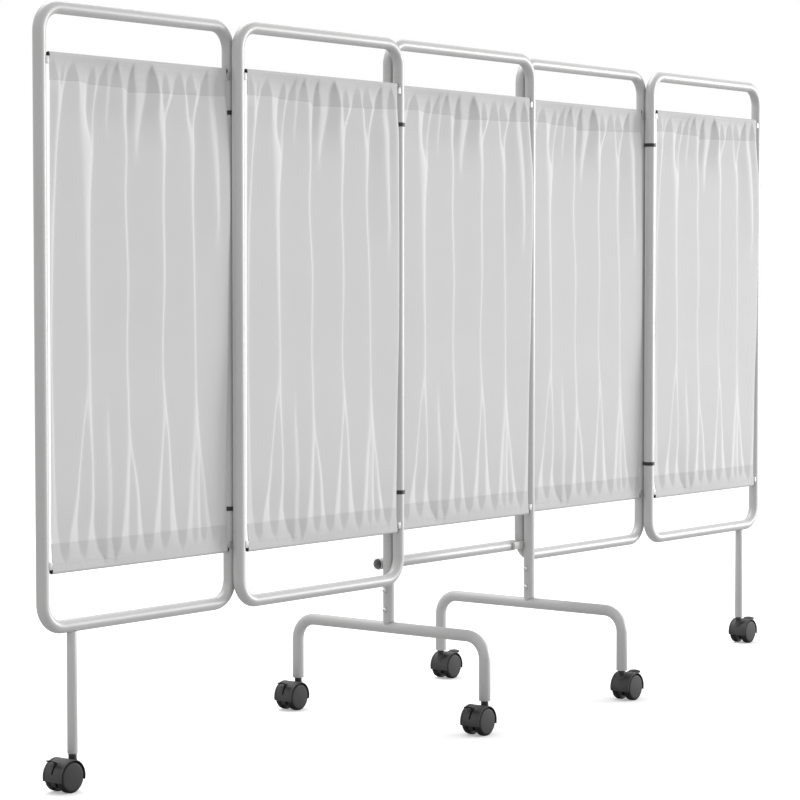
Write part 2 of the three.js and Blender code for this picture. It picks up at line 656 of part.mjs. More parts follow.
// The brake lever: a pin in the web, an arm up through the slot and a wide pedal outside the hood.
function brakeLever() {
  const pivot = aboutAxle(LEVER_PIVOT_RADIUS, LEVER_PIVOT_ANGLE);
  const root = aboutAxle(PEDAL_ROOT_RADIUS, PEDAL_ROOT_ANGLE);
  const tip = root.clone().add(new THREE.Vector2(-PEDAL_LENGTH, PEDAL_UPSWEEP));
  const rise = new THREE.Vector2(0, PEDAL_THICKNESS);
  const arm = slab([
    pivot.clone().add(new THREE.Vector2(-LEVER_ARM_RADIUS * HALF, -LEVER_ARM_RADIUS * HALF)),
    pivot.clone().add(new THREE.Vector2(LEVER_ARM_RADIUS, 0)),
    root.clone().add(new THREE.Vector2(LEVER_ARM_RADIUS, PEDAL_THICKNESS * HALF)),
    root.clone().add(new THREE.Vector2(-LEVER_ARM_RADIUS, PEDAL_THICKNESS * HALF)),
  ], SLOT_HALF_WIDTH - GAP);
  const pedal = slab([
    root.clone().add(new THREE.Vector2(LEVER_ARM_RADIUS, 0)),
    root.clone().add(new THREE.Vector2(LEVER_ARM_RADIUS, PEDAL_THICKNESS)),
    root.clone().add(rise),
    tip.clone().add(rise),
    tip,
    root,
  ], PEDAL_HALF_WIDTH);
  const pin = bar(Y_AXIS, LEVER_PIN_RADIUS, -LEVER_PIN_HALF_LENGTH, LEVER_PIN_HALF_LENGTH, BORE_SIDES)
    .translate([pivot.x, 0, pivot.y]);
  return arm.add(pedal).add(pin);
}

function addCastor(name, x, y, heading, plugRadius) {
  const castor = new THREE.Group();
  castor.position.set(x, y, 0);
  castor.rotation.z = heading;
  screen.add(castor);
  place(`${name}_stem`, castorStem(plugRadius), 'black', castor);
  place(`${name}_hood`, castorHood(), 'plastic', castor);
  place(`${name}_wheels`, castorWheels(), 'wheel', castor);
  place(`${name}_brake_lever`, brakeLever(), 'black', castor);
}

// Assembly

// The left edge, depth, width and curtain folds of each panel
const firstLeft = -OUTER_JOINT_X - PANEL_PITCH;
const panels = [
  { name: 'panel_1', x: firstLeft, y: 0, width: PANEL_PITCH, folds: FOLD_SHARES },
  { name: 'panel_2', x: -OUTER_JOINT_X, y: -STACK_PITCH, width: PANEL_PITCH, folds: FLAT_SHARES },
  { name: 'panel_3', x: -POST_X, y: 0, width: BASE_PITCH, folds: FLAT_SHARES },
  { name: 'panel_4', x: POST_X, y: STACK_PITCH, width: PANEL_PITCH, folds: FLAT_SHARES },
  { name: 'panel_5', x: OUTER_JOINT_X, y: 0, width: PANEL_PITCH, folds: FLAT_SHARES },
];

for (const panel of panels) {
  const group = new THREE.Group();
  group.position.set(panel.x, panel.y, 0);
  screen.add(group);
  const isBase = panel.name === 'panel_3';
  let frame = isBase ? baseFrame(panel.width) : outerFrame(panel.width);
  if (panel.name === 'panel_1') {
    frame = frame.add(outerLeg(LEG_INSET));
  }
  if (panel.name === 'panel_5') {
    frame = frame.add(outerLeg(panel.width - LEG_INSET));
  }
  place(`${panel.name}_frame`, frame, 'tube', group);
  place(`${panel.name}_top_rod`, rod(panel.width, TOP_ROD_Z), 'black', group);
  place(`${panel.name}_bottom_rod`, rod(panel.width, BOTTOM_ROD_Z), 'black', group);
  place(`${panel.name}_curtain`, curtain(panel.width, panel.folds), 'cloth', group);
}

place('cross_tube', crossTube(), 'tube');

for (const [side, x] of [['left', -POST_X], ['right', POST_X]]) {
  const footMesh = place(`${side}_foot`, foot(), 'tube');
  footMesh.position.x = x;
  for (const [level, z] of [['upper', UPPER_SCREW_Z], ['lower', LOWER_SCREW_Z]]) {
    const screw = place(`${side}_post_${level}_screw`, postScrew(), 'steel');
    screw.position.set(x, 0, z);
  }
}

// Each joint's ringed upright, and the side on which the upright that carries its collars stands.
const joints = [
  { name: 'hinge_1_2', x: -OUTER_JOINT_X, y: 0, partnerSide: -1 },
  { name: 'hinge_2_3', x: -POST_X, y: -STACK_PITCH, partnerSide: 1 },
  { name: 'hinge_3_4', x: POST_X, y: STACK_PITCH, partnerSide: -1 },
  { name: 'hinge_4_5', x: OUTER_JOINT_X, y: 0, partnerSide: 1 },
];

for (const joint of joints) {
  for (const [level, z] of [['top', TOP_COLLAR_Z], ['bottom', BOTTOM_COLLAR_Z]]) {
    const collar = place(`${joint.name}_${level}_collar`, hingeCollar(joint.partnerSide), 'black');
    collar.position.set(joint.x, joint.y, z);
  }
}

const legPlug = LEG_RADIUS - PANEL_WALL - GAP;
const footPlug = TUBE_RADIUS - BASE_WALL - GAP;
const castorY = FOOT_SPAN * HALF;
addCastor('castor_1', -LEG_X, 0, 0, legPlug);
addCastor('castor_2', -POST_X, -castorY, 0, footPlug);
addCastor('castor_3', -POST_X, castorY, 0, footPlug);
addCastor('castor_4', POST_X, -castorY, Math.PI, footPlug);
addCastor('castor_5', POST_X, castorY, Math.PI, footPlug);
addCastor('castor_6', LEG_X, 0, Math.PI, legPlug);

export default screen;
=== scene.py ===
"""Dresses the folding ward screen: bent tube, gathered cloth, moulded castors, finishes, light and camera."""

import json
import logging
import math
from dataclasses import dataclass, field, replace
from enum import Enum
from typing import Any, Callable, Iterable, Sequence

import bmesh
import bpy
import numpy as np
from mathutils import Matrix, Vector

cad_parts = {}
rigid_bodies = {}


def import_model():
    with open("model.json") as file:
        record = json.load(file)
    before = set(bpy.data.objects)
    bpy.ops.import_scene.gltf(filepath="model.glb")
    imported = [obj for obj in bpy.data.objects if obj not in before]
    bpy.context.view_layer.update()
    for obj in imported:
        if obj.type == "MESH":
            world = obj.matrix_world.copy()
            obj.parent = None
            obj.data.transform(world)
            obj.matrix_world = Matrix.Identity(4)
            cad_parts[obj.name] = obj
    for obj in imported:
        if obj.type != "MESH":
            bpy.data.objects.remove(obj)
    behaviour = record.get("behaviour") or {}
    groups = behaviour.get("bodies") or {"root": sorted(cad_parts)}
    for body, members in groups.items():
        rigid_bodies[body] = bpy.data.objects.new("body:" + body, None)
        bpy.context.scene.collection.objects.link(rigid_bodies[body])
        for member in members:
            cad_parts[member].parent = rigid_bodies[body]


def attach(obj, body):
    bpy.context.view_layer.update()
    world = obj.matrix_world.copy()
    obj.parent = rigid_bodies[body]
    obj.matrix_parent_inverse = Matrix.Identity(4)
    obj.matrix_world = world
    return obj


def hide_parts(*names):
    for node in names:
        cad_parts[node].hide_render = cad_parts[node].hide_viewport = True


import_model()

LOG = logging.getLogger("ward_screen")
MM = 0.001
X, Y, Z = Vector((1, 0, 0)), Vector((0, 1, 0)), Vector((0, 0, 1))
ALONG_X = Matrix.Rotation(math.pi / 2, 4, "Y")
Profile = Sequence[tuple[float, float]]
Path = list[tuple[Vector, Vector, Vector]]


class Slot(Enum):
    """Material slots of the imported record."""

    TUBE = "frame_tube"
    HOOD = "castor_plastic"
    WHEEL = "castor_wheel"
    STEEL = "castor_steel"
    ROD = "black_metal"
    BLACK = "black_plastic"
    CLOTH = "curtain_cloth"


class Link:
    """A shader socket that takes Python arithmetic and adds the Math nodes for it."""

    def __init__(self, sheet: "NodeSheet", socket: Any) -> None:
        """Keeps the socket and the node sheet it belongs to."""
        self.sheet = sheet
        self.socket = socket

    def _math(self, operation: str, first: Any, second: Any) -> "Link":
        """Adds one Math node."""
        return self.sheet.node("ShaderNodeMath", {"operation": operation}, {0: first, 1: second})

    def __add__(self, other: Any) -> "Link":
        """Sum."""
        return self._math("ADD", self, other)

    __radd__ = __add__

    def __sub__(self, other: Any) -> "Link":
        """Difference."""
        return self._math("SUBTRACT", self, other)

    def __rsub__(self, other: Any) -> "Link":
        """Reflected difference."""
        return self._math("SUBTRACT", other, self)

    def __mul__(self, other: Any) -> "Link":
        """Product."""
        return self._math("MULTIPLY", self, other)

    __rmul__ = __mul__

    def larger(self, other: Any) -> "Link":
        """The larger of the two."""
        return self._math("MAXIMUM", self, other)


class NodeSheet:
    """One material's or world's node tree, emptied and filled by name."""

    def __init__(self, owner: Any) -> None:
        """Empties the owner's tree.

        Args:
            owner: A material or world, whose nodes are switched on.
        """
        owner.use_nodes = True
        self.tree = owner.node_tree
        self.tree.nodes.clear()

    def node(self, kind: str, settings: dict[str, Any], inputs: dict[Any, Any], output: Any = 0) -> Link:
        """Adds any node.

        Args:
            kind: The node's type name.
            settings: Attributes set first. "stops" fills a colour ramp.
            inputs: Values or links by socket index or name.
            output: The socket handed back, by index or name.

        Returns:
            The chosen output as a link.
        """
        made = self.tree.nodes.new(kind)
        for key, value in settings.items():
            if key != "stops":
                setattr(made, key, value)
                continue
            ramp = made.color_ramp
            while len(ramp.elements) < len(value):
                ramp.elements.new(1.0)
            for element, (place, shade) in zip(ramp.elements, value):
                element.position = place
                element.color = (shade, shade, shade, 1)
        for key, value in inputs.items():
            if isinstance(value, Link):
                self.tree.links.new(value.socket, made.inputs[key])
            else:
                made.inputs[key].default_value = value
        return Link(self, made.outputs[output] if made.outputs else None)

    def mix(self, factor: Any, low: Any, high: Any) -> Link:
        """Mixes two colours by a factor."""
        return self.node("ShaderNodeMix", {"data_type": "RGBA"}, {0: factor, 6: low, 7: high}, 2)

    def noise(self, place: Any, scale: float, detail: float = 3.0) -> Link:
        """Noise from 0 to 1 at a scale in turns per metre."""
        return self.node("ShaderNodeTexNoise", {}, {"Vector": place, "Scale": scale, "Detail": detail})

    def ramp(self, factor: Any, stops: Sequence[tuple[float, float]]) -> Link:
        """Sends a factor through grey stops."""
        return self.node("ShaderNodeValToRGB", {"stops": stops}, {0: factor})

    def place(self) -> Link:
        """The place on the object, in metres."""
        return self.node("ShaderNodeTexCoord", {}, {}, "Object")

    def ray(self, kind: str) -> Link:
        """1 where the ray is of a kind, such as one from the camera, and 0 elsewhere."""
        return self.node("ShaderNodeLightPath", {}, {}, kind)

    def attribute(self, name: str, output: str = "Fac") -> Link:
        """A value that the mesh holds at its points."""
        return self.node("ShaderNodeAttribute", {"attribute_name": name}, {}, output)

    def bump(self, height: Any, distance: float) -> Link:
        """The normal that a height in metres gives."""
        return self.node("ShaderNodeBump", {}, {"Strength": 1.0, "Distance": distance, "Height": height})

    def surface(self, inputs: dict[str, Any]) -> None:
        """Ends a material in one Principled shader."""
        shader = self.node("ShaderNodeBsdfPrincipled", {}, inputs)
        self.node("ShaderNodeOutputMaterial", {}, {0: shader})


def grey(value: float, warm: float = 0.0) -> tuple[float, float, float, float]:
    """A grey colour, a little warm or cool.

    Args:
        value: Its linear brightness.
        warm: How much red is added and blue is taken, as a share.

    Returns:
        The colour with full alpha.
    """
    return (value * (1 + warm), value, value * (1 - warm), 1.0)


@dataclass(frozen=True)
class PowderCoat:
    """Light grey powder coat on steel tube."""

    shade: float = 0.55
    dusty: float = 0.525
    speck_share: float = 0.94
    roughness: float = 0.4
    roughness_swing: float = 0.1
    metallic: float = 0.15
    cloud_scale: float = 5.0
    speck_scale: float = 1400.0
    peel_scale: float = 650.0
    fine_scale: float = 2600.0
    wear_scale: float = 90.0
    peel_depth: float = 0.00006

    def build(self) -> bpy.types.Material:
        """Makes the material.

        Returns:
            The material.
        """
        material = bpy.data.materials.new("powder_coat")
        sheet = NodeSheet(material)
        place = sheet.place()
        cloud = sheet.ramp(sheet.noise(place, self.cloud_scale), ((0.3, 0.0), (0.7, 1.0)))
        speck = sheet.ramp(sheet.noise(place, self.speck_scale, 1.0), ((0.35, 0.0), (0.5, 1.0)))
        peel = sheet.noise(place, self.peel_scale, 2.0)
        fine = sheet.noise(place, self.fine_scale, 1.0)
        tone = sheet.mix(cloud, grey(self.shade, 0.004), grey(self.dusty, 0.006))
        sheet.surface({
            "Base Color": sheet.mix(speck, grey(self.dusty * self.speck_share), tone),
            "Metallic": self.metallic,
            "Roughness": sheet.noise(place, self.wear_scale) * self.roughness_swing + self.roughness,
            "Normal": sheet.bump(peel + fine * 0.3, self.peel_depth),
            "Specular IOR Level": 0.5,
        })
        return material


@dataclass(frozen=True)
class Moulding:
    """Moulded plastic with a fine grain, with painted shade where the mesh marks it."""

    name: str
    shade: float
    roughness: float
    grain: float = 900.0
    depth: float = 0.00008
    warm: float = 0.01
    gloss: float = 0.5
    roughness_swing: float = 0.16
    dust_scale: float = 38.0
    dust_share: float = 1.35
    recess_shade: float = 0.006

    def build(self) -> bpy.types.Material:
        """Makes the material.

        Returns:
            The material.
        """
        material = bpy.data.materials.new(self.name)
        sheet = NodeSheet(material)
        place = sheet.place()
        grain = sheet.noise(place, self.grain, 2.0)
        fine = sheet.noise(place, self.grain * 3.1, 1.0)
        dust = sheet.ramp(sheet.noise(place, self.dust_scale, 5.0), ((0.45, 0.0), (0.8, 1.0)))
        tone = sheet.mix(dust, grey(self.shade, self.warm), grey(self.shade * self.dust_share, self.warm))
        sheet.surface({
            # Painted shade where the mesh marks it: the hood's web rim, and the wheels' tread, which is also black
            # in its own right.
            "Base Color": sheet.mix(sheet.attribute("recess"), tone, grey(self.recess_shade)),
            "Roughness": grain * self.roughness_swing + self.roughness,
            "Specular IOR Level": self.gloss,
            "Normal": sheet.bump(grain + fine * 0.4, self.depth),
        })
        return material


@dataclass(frozen=True)
class PlatedSteel:
    """Zinc-plated steel, turned round its own length."""

    shade: float = 0.62
    roughness: float = 0.24
    roughness_swing: float = 0.2
    haze_scale: float = 220.0
    tool_scale: float = 2400.0
    tool_depth: float = 0.00002

    def build(self) -> bpy.types.Material:
        """Makes the material.

        Returns:
            The material.
        """
        material = bpy.data.materials.new("plated_steel")
        sheet = NodeSheet(material)
        place = sheet.place()
        haze = sheet.noise(place, self.haze_scale, 4.0)
        sheet.surface({
            "Base Color": sheet.mix(haze, grey(self.shade, 0.01), grey(self.shade * 1.2, -0.01)),
            "Metallic": 1.0,
            "Roughness": haze * self.roughness_swing + self.roughness,
            "Normal": sheet.bump(sheet.noise(place, self.tool_scale, 1.0), self.tool_depth),
        })
        return material


@dataclass(frozen=True)
class Cloth:
    """Plain-woven white cloth, with painted shade where it lies double in the hems and pockets and where a row is
    pressed.
    """

    single: float = 0.695
    double: float = 0.605
    press_shade_strength: float = 0.75
    press_shade_tone: float = 0.5
    thread: float = 0.0011
    slub_scale: float = 160.0
    faint_scale: float = 14.0
    weave_depth: float = 0.00012
    roughness: float = 0.86
    roughness_swing: float = 0.08

    def build(self) -> bpy.types.Material:
        """Makes the material.

        Returns:
            The material.
        """
        material = bpy.data.materials.new("curtain_cloth")
        sheet = NodeSheet(material)
        weave = sheet.attribute("weave_place", "Vector")
        turns = math.tau / (self.thread * 20)
        warp, weft = (sheet.node("ShaderNodeTexWave", {"bands_direction": way}, {"Vector": weave, "Scale": turns})
                      for way in ("X", "Y"))
        slub = sheet.noise(weave, self.slub_scale, 4.0)
        faint = sheet.ramp(sheet.noise(weave, self.faint_scale, 4.0), ((0.3, 0.0), (0.7, 1.0)))
        layers = sheet.attribute("layers")
        press = sheet.attribute("press")
        plain = sheet.mix(slub * 0.5 + faint * 0.5, grey(self.single * 0.975), grey(self.single))
        # Painted shade: double cloth is drawn darker, standing in for the light that shines through single cloth
        # but less through double.
        lined = sheet.mix(slub, grey(self.double * 0.97), grey(self.double))
        tone = sheet.mix(layers, plain, lined)
        height = warp * weft * 0.5 + slub * 0.4 - press * 1.2
        sheet.surface({
            # Painted shade: pressed rows are drawn darker, along the pockets' tops where the black rod shows
            # through and along the hem seams.
            "Base Color": sheet.mix(press * self.press_shade_strength, tone, grey(self.double * self.press_shade_tone)),
            "Roughness": slub * self.roughness_swing + self.roughness,
            "Normal": sheet.bump(height, self.weave_depth),
            "Sheen Weight": 0.12,
            "Sheen Roughness": 0.5,
            "Specular IOR Level": 0.25,
        })
        return material


class Finishes:
    """Every finish by record slot, made once."""

    def __init__(self) -> None:
        """Builds the materials."""
        self.by_slot = {
            Slot.TUBE: PowderCoat().build(),
            Slot.HOOD: Moulding("castor_hood_plastic", shade=0.036, roughness=0.42).build(),
            Slot.WHEEL: Moulding("castor_wheel_plastic", shade=0.022, roughness=0.5, grain=1300.0, depth=0.00004,
                                 gloss=0.35).build(),
            Slot.STEEL: PlatedSteel().build(),
            Slot.ROD: Moulding("black_coated_rod", shade=0.016, roughness=0.3, grain=700.0, depth=0.00003,
                               warm=0.0).build(),
            Slot.BLACK: Moulding("black_plastic", shade=0.014, roughness=0.42, grain=1100.0, depth=0.00005,
                                 warm=0.0).build(),
            Slot.CLOTH: Cloth().build(),
        }


def circle(sides: int) -> list[tuple[float, float]]:
    """The cosine and sine of even steps once round."""
    angles = [math.tau * i / sides for i in range(sides)]
    return [(math.cos(angle), math.sin(angle)) for angle in angles]


class MeshMaker:
    """Gathers rings of corners in millimetres and turns them into a mesh in metres."""

    least_radius: float = 0.01
    sharp_edge: float = 50.0

    def __init__(self) -> None:
        """Starts empty."""
        self.corners: list[Vector] = []
        self.faces: list[tuple[int, ...]] = []

    def ring(self, corners: Iterable[Vector]) -> list[int]:
        """Adds corners.

        Args:
            corners: Places in millimetres.

        Returns:
            Their numbers.
        """
        start = len(self.corners)
        self.corners.extend(corners)
        return list(range(start, len(self.corners)))

    def bridge(self, first: Sequence[int], second: Sequence[int]) -> None:
        """Joins two rings with quads.

        Args:
            first: Corner numbers of one ring.
            second: Those of the other, as many.
        """
        for i, corner in enumerate(first):
            j = (i + 1) % len(first)
            self.faces.append((corner, first[j], second[j], second[i]))

    def skin(self, rings: Sequence[Sequence[int]], closed: bool = False) -> None:
        """Joins rings in order and closes the ends with faces, or the last ring to the first.

        Args:
            rings: Corner numbers, ring by ring.
            closed: Whether the skin runs on round to its start.
        """
        for first, second in zip(rings, rings[1:]):
            self.bridge(first, second)
        if closed:
            self.bridge(rings[-1], rings[0])
        else:
            self.faces.append(tuple(reversed(rings[0])))
            self.faces.append(tuple(rings[-1]))

    def sweep(self, path: Path, radii: Sequence[float], sides: int, closed: bool = False) -> None:
        """Draws a round section along a path.

        Args:
            path: Stations with a point, a tangent and a side direction.
            radii: The section's radius at each station.
            sides: Corners round the section.
            closed: Whether the path meets itself.
        """
        rings = []
        for (point, tangent, side), radius in zip(path, radii):
            other = tangent.cross(side)
            rings.append(self.ring(point + side * (radius * u) + other * (radius * v) for u, v in circle(sides)))
        self.skin(rings, closed)

    def lathe(self, profile: Profile, place: Matrix, sides: int = 32) -> None:
        """Turns a profile of radius and height about a place's Z axis.

        Args:
            profile: Radius and height pairs. A radius of nothing closes the end.
            place: Where the axis stands.
            sides: Corners round the axis.
        """
        rings = []
        for radius, height in profile:
            r = max(radius, self.least_radius)
            rings.append(self.ring(place @ Vector((r * u, r * v, height)) for u, v in circle(sides)))
        self.skin(rings)

    def prism(self, outline: Sequence[tuple[float, float]], low: float, high: float, place: Matrix) -> None:
        """Gives an outline thickness along a place's Z axis.

        Args:
            outline: Corners in the place's X and Y, counterclockwise.
            low: Where it starts along Z.
            high: Where it ends.
            place: The outline's frame.
        """
        self.skin([self.ring(place @ Vector((u, v, level)) for u, v in outline) for level in (low, high)])

    def box(self, low: Sequence[float], high: Sequence[float]) -> None:
        """Adds a box by its lowest and highest corners."""
        outline = ((low[0], low[1]), (high[0], low[1]), (high[0], high[1]), (low[0], high[1]))
        self.prism(outline, low[2], high[2], Matrix())

    def mesh(self, name: str, round_over: float = 0.0, smooth_angle: float = 38.0) -> bpy.types.Mesh:
        """Makes a mesh, with its sharp edges rounded over.

        Args:
            name: The mesh's name.
            round_over: Bevel width in millimetres, or nothing.
            smooth_angle: Edges sharper than this stay sharp, in degrees.

        Returns:
            The mesh, in metres.
        """
        bm = bmesh.new()
        made = [bm.verts.new(corner * MM) for corner in self.corners]
        for face in self.faces:
            bm.faces.new([made[i] for i in face])
        bmesh.ops.recalc_face_normals(bm, faces=bm.faces)
        if round_over:
            limit = math.radians(self.sharp_edge)
            edges = [e for e in bm.edges if len(e.link_faces) == 2 and e.calc_face_angle(0) > limit]
            bmesh.ops.bevel(bm, geom=edges, offset=round_over * MM, segments=2, profile=0.6, affect="EDGES",
                            clamp_overlap=True)
        mesh = bpy.data.meshes.new(name)
        bm.to_mesh(mesh)
        bm.free()
        mesh.polygons.foreach_set("use_smooth", [True] * len(mesh.polygons))
        mesh.set_sharp_from_angle(angle=math.radians(smooth_angle))
        return mesh


def bent_path(corners: Sequence[Vector], bend: float, side: Vector, steps: int = 12, closed: bool = False) -> Path:
    """Rounds the corners of a flat centreline.

    Args:
        corners: The corner points, in millimetres.
        bend: The bend's radius.
        side: The direction square to the flat that the path lies in.
        steps: Pieces per bend.
        closed: Whether the last corner joins the first.

    Returns:
        Stations with a point, a tangent and the side direction.
    """
    path: Path = []
    count = len(corners)
    for i, here in enumerate(corners):
        if not closed and i in (0, count - 1):
            tangent = (corners[1] - here) if i == 0 else (here - corners[-2])
            path.append((here, tangent.normalized(), side))
            continue
        arriving = (here - corners[i - 1]).normalized()
        leaving = (corners[(i + 1) % count] - here).normalized()
        centre = here + (leaving - arriving) * bend
        for step in range(steps + 1):
            angle = math.pi / 2 * step / steps
            point = centre + (arriving * math.sin(angle) - leaving * math.cos(angle)) * bend
            path.append((point, (arriving * math.cos(angle) + leaving * math.sin(angle)).normalized(), side))
    return path


def add_end(path: Path, radii: list[float], finish: Profile, at_start: bool) -> None:
    """Carries a tube past its end face and back into its bore.

    Args:
        path: The tube's stations, added to.
        radii: The radius at each station, added to.
        finish: Pairs of distance out from the end and radius, from the outside to the inside.
        at_start: Which end of the path.
    """
    point, tangent, side = path[0] if at_start else path[-1]
    outward = -tangent if at_start else tangent
    extra = [(point + outward * out, tangent, side) for out, _ in finish]
    sizes = [radius for _, radius in finish]
    if at_start:
        path[:1] = extra[::-1]
        radii[:1] = sizes[::-1]
    else:
        path[-1:] = extra
        radii[-1:] = sizes


def rounded_rim(radius: float) -> list[tuple[float, float]]:
    """The finish of a cut tube's outer edge, as pairs of distance out from the end and radius."""
    return [(out, radius - less) for out, less in ((-0.5, 0.0), (-0.15, 0.15), (0, 0.5))]


class Stand:
    """Turns meshes into pieces that ride on the screen's bodies."""

    def __init__(self, finishes: Finishes) -> None:
        """Keeps the finishes."""
        self.finishes = finishes

    def piece(self, name: str, mesh: bpy.types.Mesh, slot: Slot, body: str,
              nodes: Sequence[str]) -> bpy.types.Object:
        """Adds a piece in place of CAD nodes.

        Args:
            name: The piece's name.
            mesh: Its mesh, in metres.
            slot: Its finish.
            body: The body it rides on.
            nodes: The CAD nodes it stands for.

        Returns:
            The object.
        """
        made = bpy.data.objects.new(name, mesh)
        bpy.context.scene.collection.objects.link(made)
        mesh.materials.clear()
        mesh.materials.append(self.finishes.by_slot[slot])
        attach(made, body)
        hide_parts(*nodes)
        LOG.info("%s on %s: %d faces", name, body, len(mesh.polygons))
        return made


@dataclass
class Sizes:
    """Sizes that several sub-assemblies share, in millimetres."""

    top: float = 1650.0
    bottom: float = 335.0
    pitch: float = 579.0
    base_pitch: float = 593.0
    base_rise: float = 5.0
    stack: float = 30.0
    bend: float = 52.0
    tube: float = 14.0
    leg: float = 11.0
    leg_inset: float = 83.0
    tube_end: float = 78.0
    foot_span: float = 578.0
    foot_axis: float = 228.0
    post_end: float = 234.0
    rod: float = 4.5
    rod_forward: float = 8.0
    top_rod: float = 1537.0
    bottom_rod: float = 468.0
    wall: float = 2.0
    gap: float = 0.3
    sides: int = 40

    @property
    def post(self) -> float:
        """How far each post stands from the middle."""
        return self.base_pitch / 2

    @property
    def joint(self) -> float:
        """How far each outer joint stands from the middle."""
        return self.post + self.pitch


class Stance(Enum):
    """What a panel stands on or hangs from."""

    NEIGHBOURS = "the panels beside it"
    LEFT_LEG = "a leg near its left end"
    RIGHT_LEG = "a leg near its right end"
    POSTS = "its own posts on the feet"


@dataclass
class Panel:
    """One panel: its place, width, body and support, and how far forward its curtain's right edge may stand."""

    number: int
    left: float
    depth: float
    width: float
    body: str
    stance: Stance
    room: float = 17.0

    def node(self, part: str) -> str:
        """A CAD node's name."""
        return f"panel_{self.number}_{part}"


@dataclass
class FrameMaker:
    """Bends a panel's frame and welds on its cradles and leg."""

    sizes: Sizes
    cradle_reach: float = 16.5
    cradle_depth: float = 10.0
    cradle_height: float = 15.0
    cradle_root: float = 5.0
    cradle_lip: float = 4.0
    bead: float = 1.5
    bead_sides: int = 8
    cradle_bead_share: float = 0.7
    leg_bead_steps: int = 28
    leg_bore: float = 12.0
    taper: float = 13.0
    taper_steps: Profile = ((1.0, 0.0), (0.6, 0.2), (0.3, 0.7), (0.0, 1.8))
    round_over: float = 0.7

    def cradle(self, maker: MeshMaker, x: float, way: float, panel: Panel, rod_z: float, away: float) -> None:
        """Adds the block under or over a rod's end, with a round seat.

        Args:
            maker: Where it goes.
            x: The upright's axis.
            way: +1 where the block points along +X.
            panel: The panel it belongs to.
            rod_z: The rod's height.
            away: +1 where the block lies below the rod.
        """
        s = self.sizes
        middle = panel.depth - s.rod_forward
        half = self.cradle_depth / 2
        seat = s.rod + s.gap
        reach = rod_z - away * (s.rod + self.cradle_height)
        lip = rod_z - away * self.cradle_lip
        spread = math.asin(math.sqrt(seat ** 2 - self.cradle_lip ** 2) / seat)
        arc = [(middle + seat * math.sin(a), rod_z - away * seat * math.cos(a))
               for a in np.linspace(-spread, spread, 7)]
        outline = [(middle - half, lip), *arc, (middle + half, lip), (middle + half, reach),
                   (middle - half, reach)]
        if away < 0:
            outline.reverse()
        place = Matrix(((0, 0, way, x), (1, 0, 0, 0), (0, 1, 0, 0), (0, 0, 0, 1)))
        maker.prism(outline, self.cradle_root, self.cradle_reach, place)
        self.fillet(maker, x, way, (middle, (reach + lip) / 2), (half, abs(lip - reach) / 2))

    def fillet(self, maker: MeshMaker, x: float, way: float, middle: tuple[float, float],
               half: tuple[float, float]) -> None:
        """Adds the weld bead where a cradle meets its upright.

        Args:
            maker: Where it goes.
            x: The upright's axis.
            way: +1 where the cradle points along +X.
            middle: The cradle's middle in Y and Z.
            half: Half its size in Y and Z.
        """
        tube = self.sizes.tube
        points = []
        for u, v in ((-1, -1), (0, -1), (1, -1), (1, 0), (1, 1), (0, 1), (-1, 1), (-1, 0)):
            across = u * half[0] - self.sizes.rod_forward
            out = math.sqrt(max(tube ** 2 - across ** 2, 0.0))
            points.append(Vector((x + way * out, middle[0] + u * half[0], middle[1] + v * half[1])))
        self.run_bead(maker, points, self.bead * self.cradle_bead_share)

    def run_bead(self, maker: MeshMaker, points: Sequence[Vector], radius: float) -> None:
        """Lays a closed bead of weld.

        Args:
            maker: Where it goes.
            points: The places it runs through.
            radius: How thick it is.
        """
        path: Path = []
        centre = sum(points, Vector()) / len(points)
        count = len(points)
        for i, point in enumerate(points):
            tangent = (points[(i + 1) % count] - points[i - 1]).normalized()
            side = (point - centre) - tangent * (point - centre).dot(tangent)
            path.append((point, tangent, side.normalized()))
        maker.sweep(path, [radius] * count, self.bead_sides, closed=True)

    def leg(self, maker: MeshMaker, x: float) -> None:
        """Adds the leg under an outer panel, coped to the bottom tube and welded.

        Args:
            maker: Where it goes.
            x: The leg's axis.
        """
        s = self.sizes
        axis = s.bottom + s.tube
        bore = s.leg - s.wall
        path = [(Vector((x, 0, s.tube_end)), Z, Y), (Vector((x, 0, axis - s.tube + 2)), Z, Y)]
        radii = [s.leg, s.leg]
        add_end(path, radii, [*rounded_rim(s.leg), (0, bore), (-self.leg_bore, bore)], True)
        maker.sweep(path, radii, s.sides)
        points = []
        for u, v in circle(self.leg_bead_steps):
            across = s.leg * v
            points.append(Vector((x + s.leg * u, across, axis - math.sqrt(s.tube ** 2 - across ** 2))))
        self.run_bead(maker, points, self.bead)

    def build(self, stand: Stand, panel: Panel) -> None:
        """Makes one panel's frame.

        Args:
            stand: Where pieces go.
            panel: The panel.
        """
        s = self.sizes
        maker = MeshMaker()
        on_posts = panel.stance is Stance.POSTS
        left, right = panel.left, panel.left + panel.width
        top = s.top - s.tube + (s.base_rise if on_posts else 0.0)
        low = s.post_end if on_posts else s.bottom + s.tube
        corners = [Vector((x, panel.depth, z)) for x, z in ((left, low), (left, top), (right, top), (right, low))]
        path = bent_path(corners, s.bend, Y, closed=not on_posts)
        radii = [s.tube] * len(path)
        if on_posts:
            narrowing = [(-share * self.taper, s.tube - less) for share, less in self.taper_steps]
            for at_start in (True, False):
                add_end(path, radii, narrowing, at_start)
        maker.sweep(path, radii, s.sides, closed=not on_posts)
        if on_posts:
            self.cope(maker, left, right)
        for x, way in ((left, 1.0), (right, -1.0)):
            self.cradle(maker, x, way, panel, s.top_rod, 1.0)
            self.cradle(maker, x, way, panel, s.bottom_rod, -1.0)
        if panel.stance is Stance.LEFT_LEG:
            self.leg(maker, left + s.leg_inset)
        if panel.stance is Stance.RIGHT_LEG:
            self.leg(maker, right - s.leg_inset)
        node = panel.node("frame")
        stand.piece(f"{node}_tube", maker.mesh(node, self.round_over), Slot.TUBE, panel.body, [node])

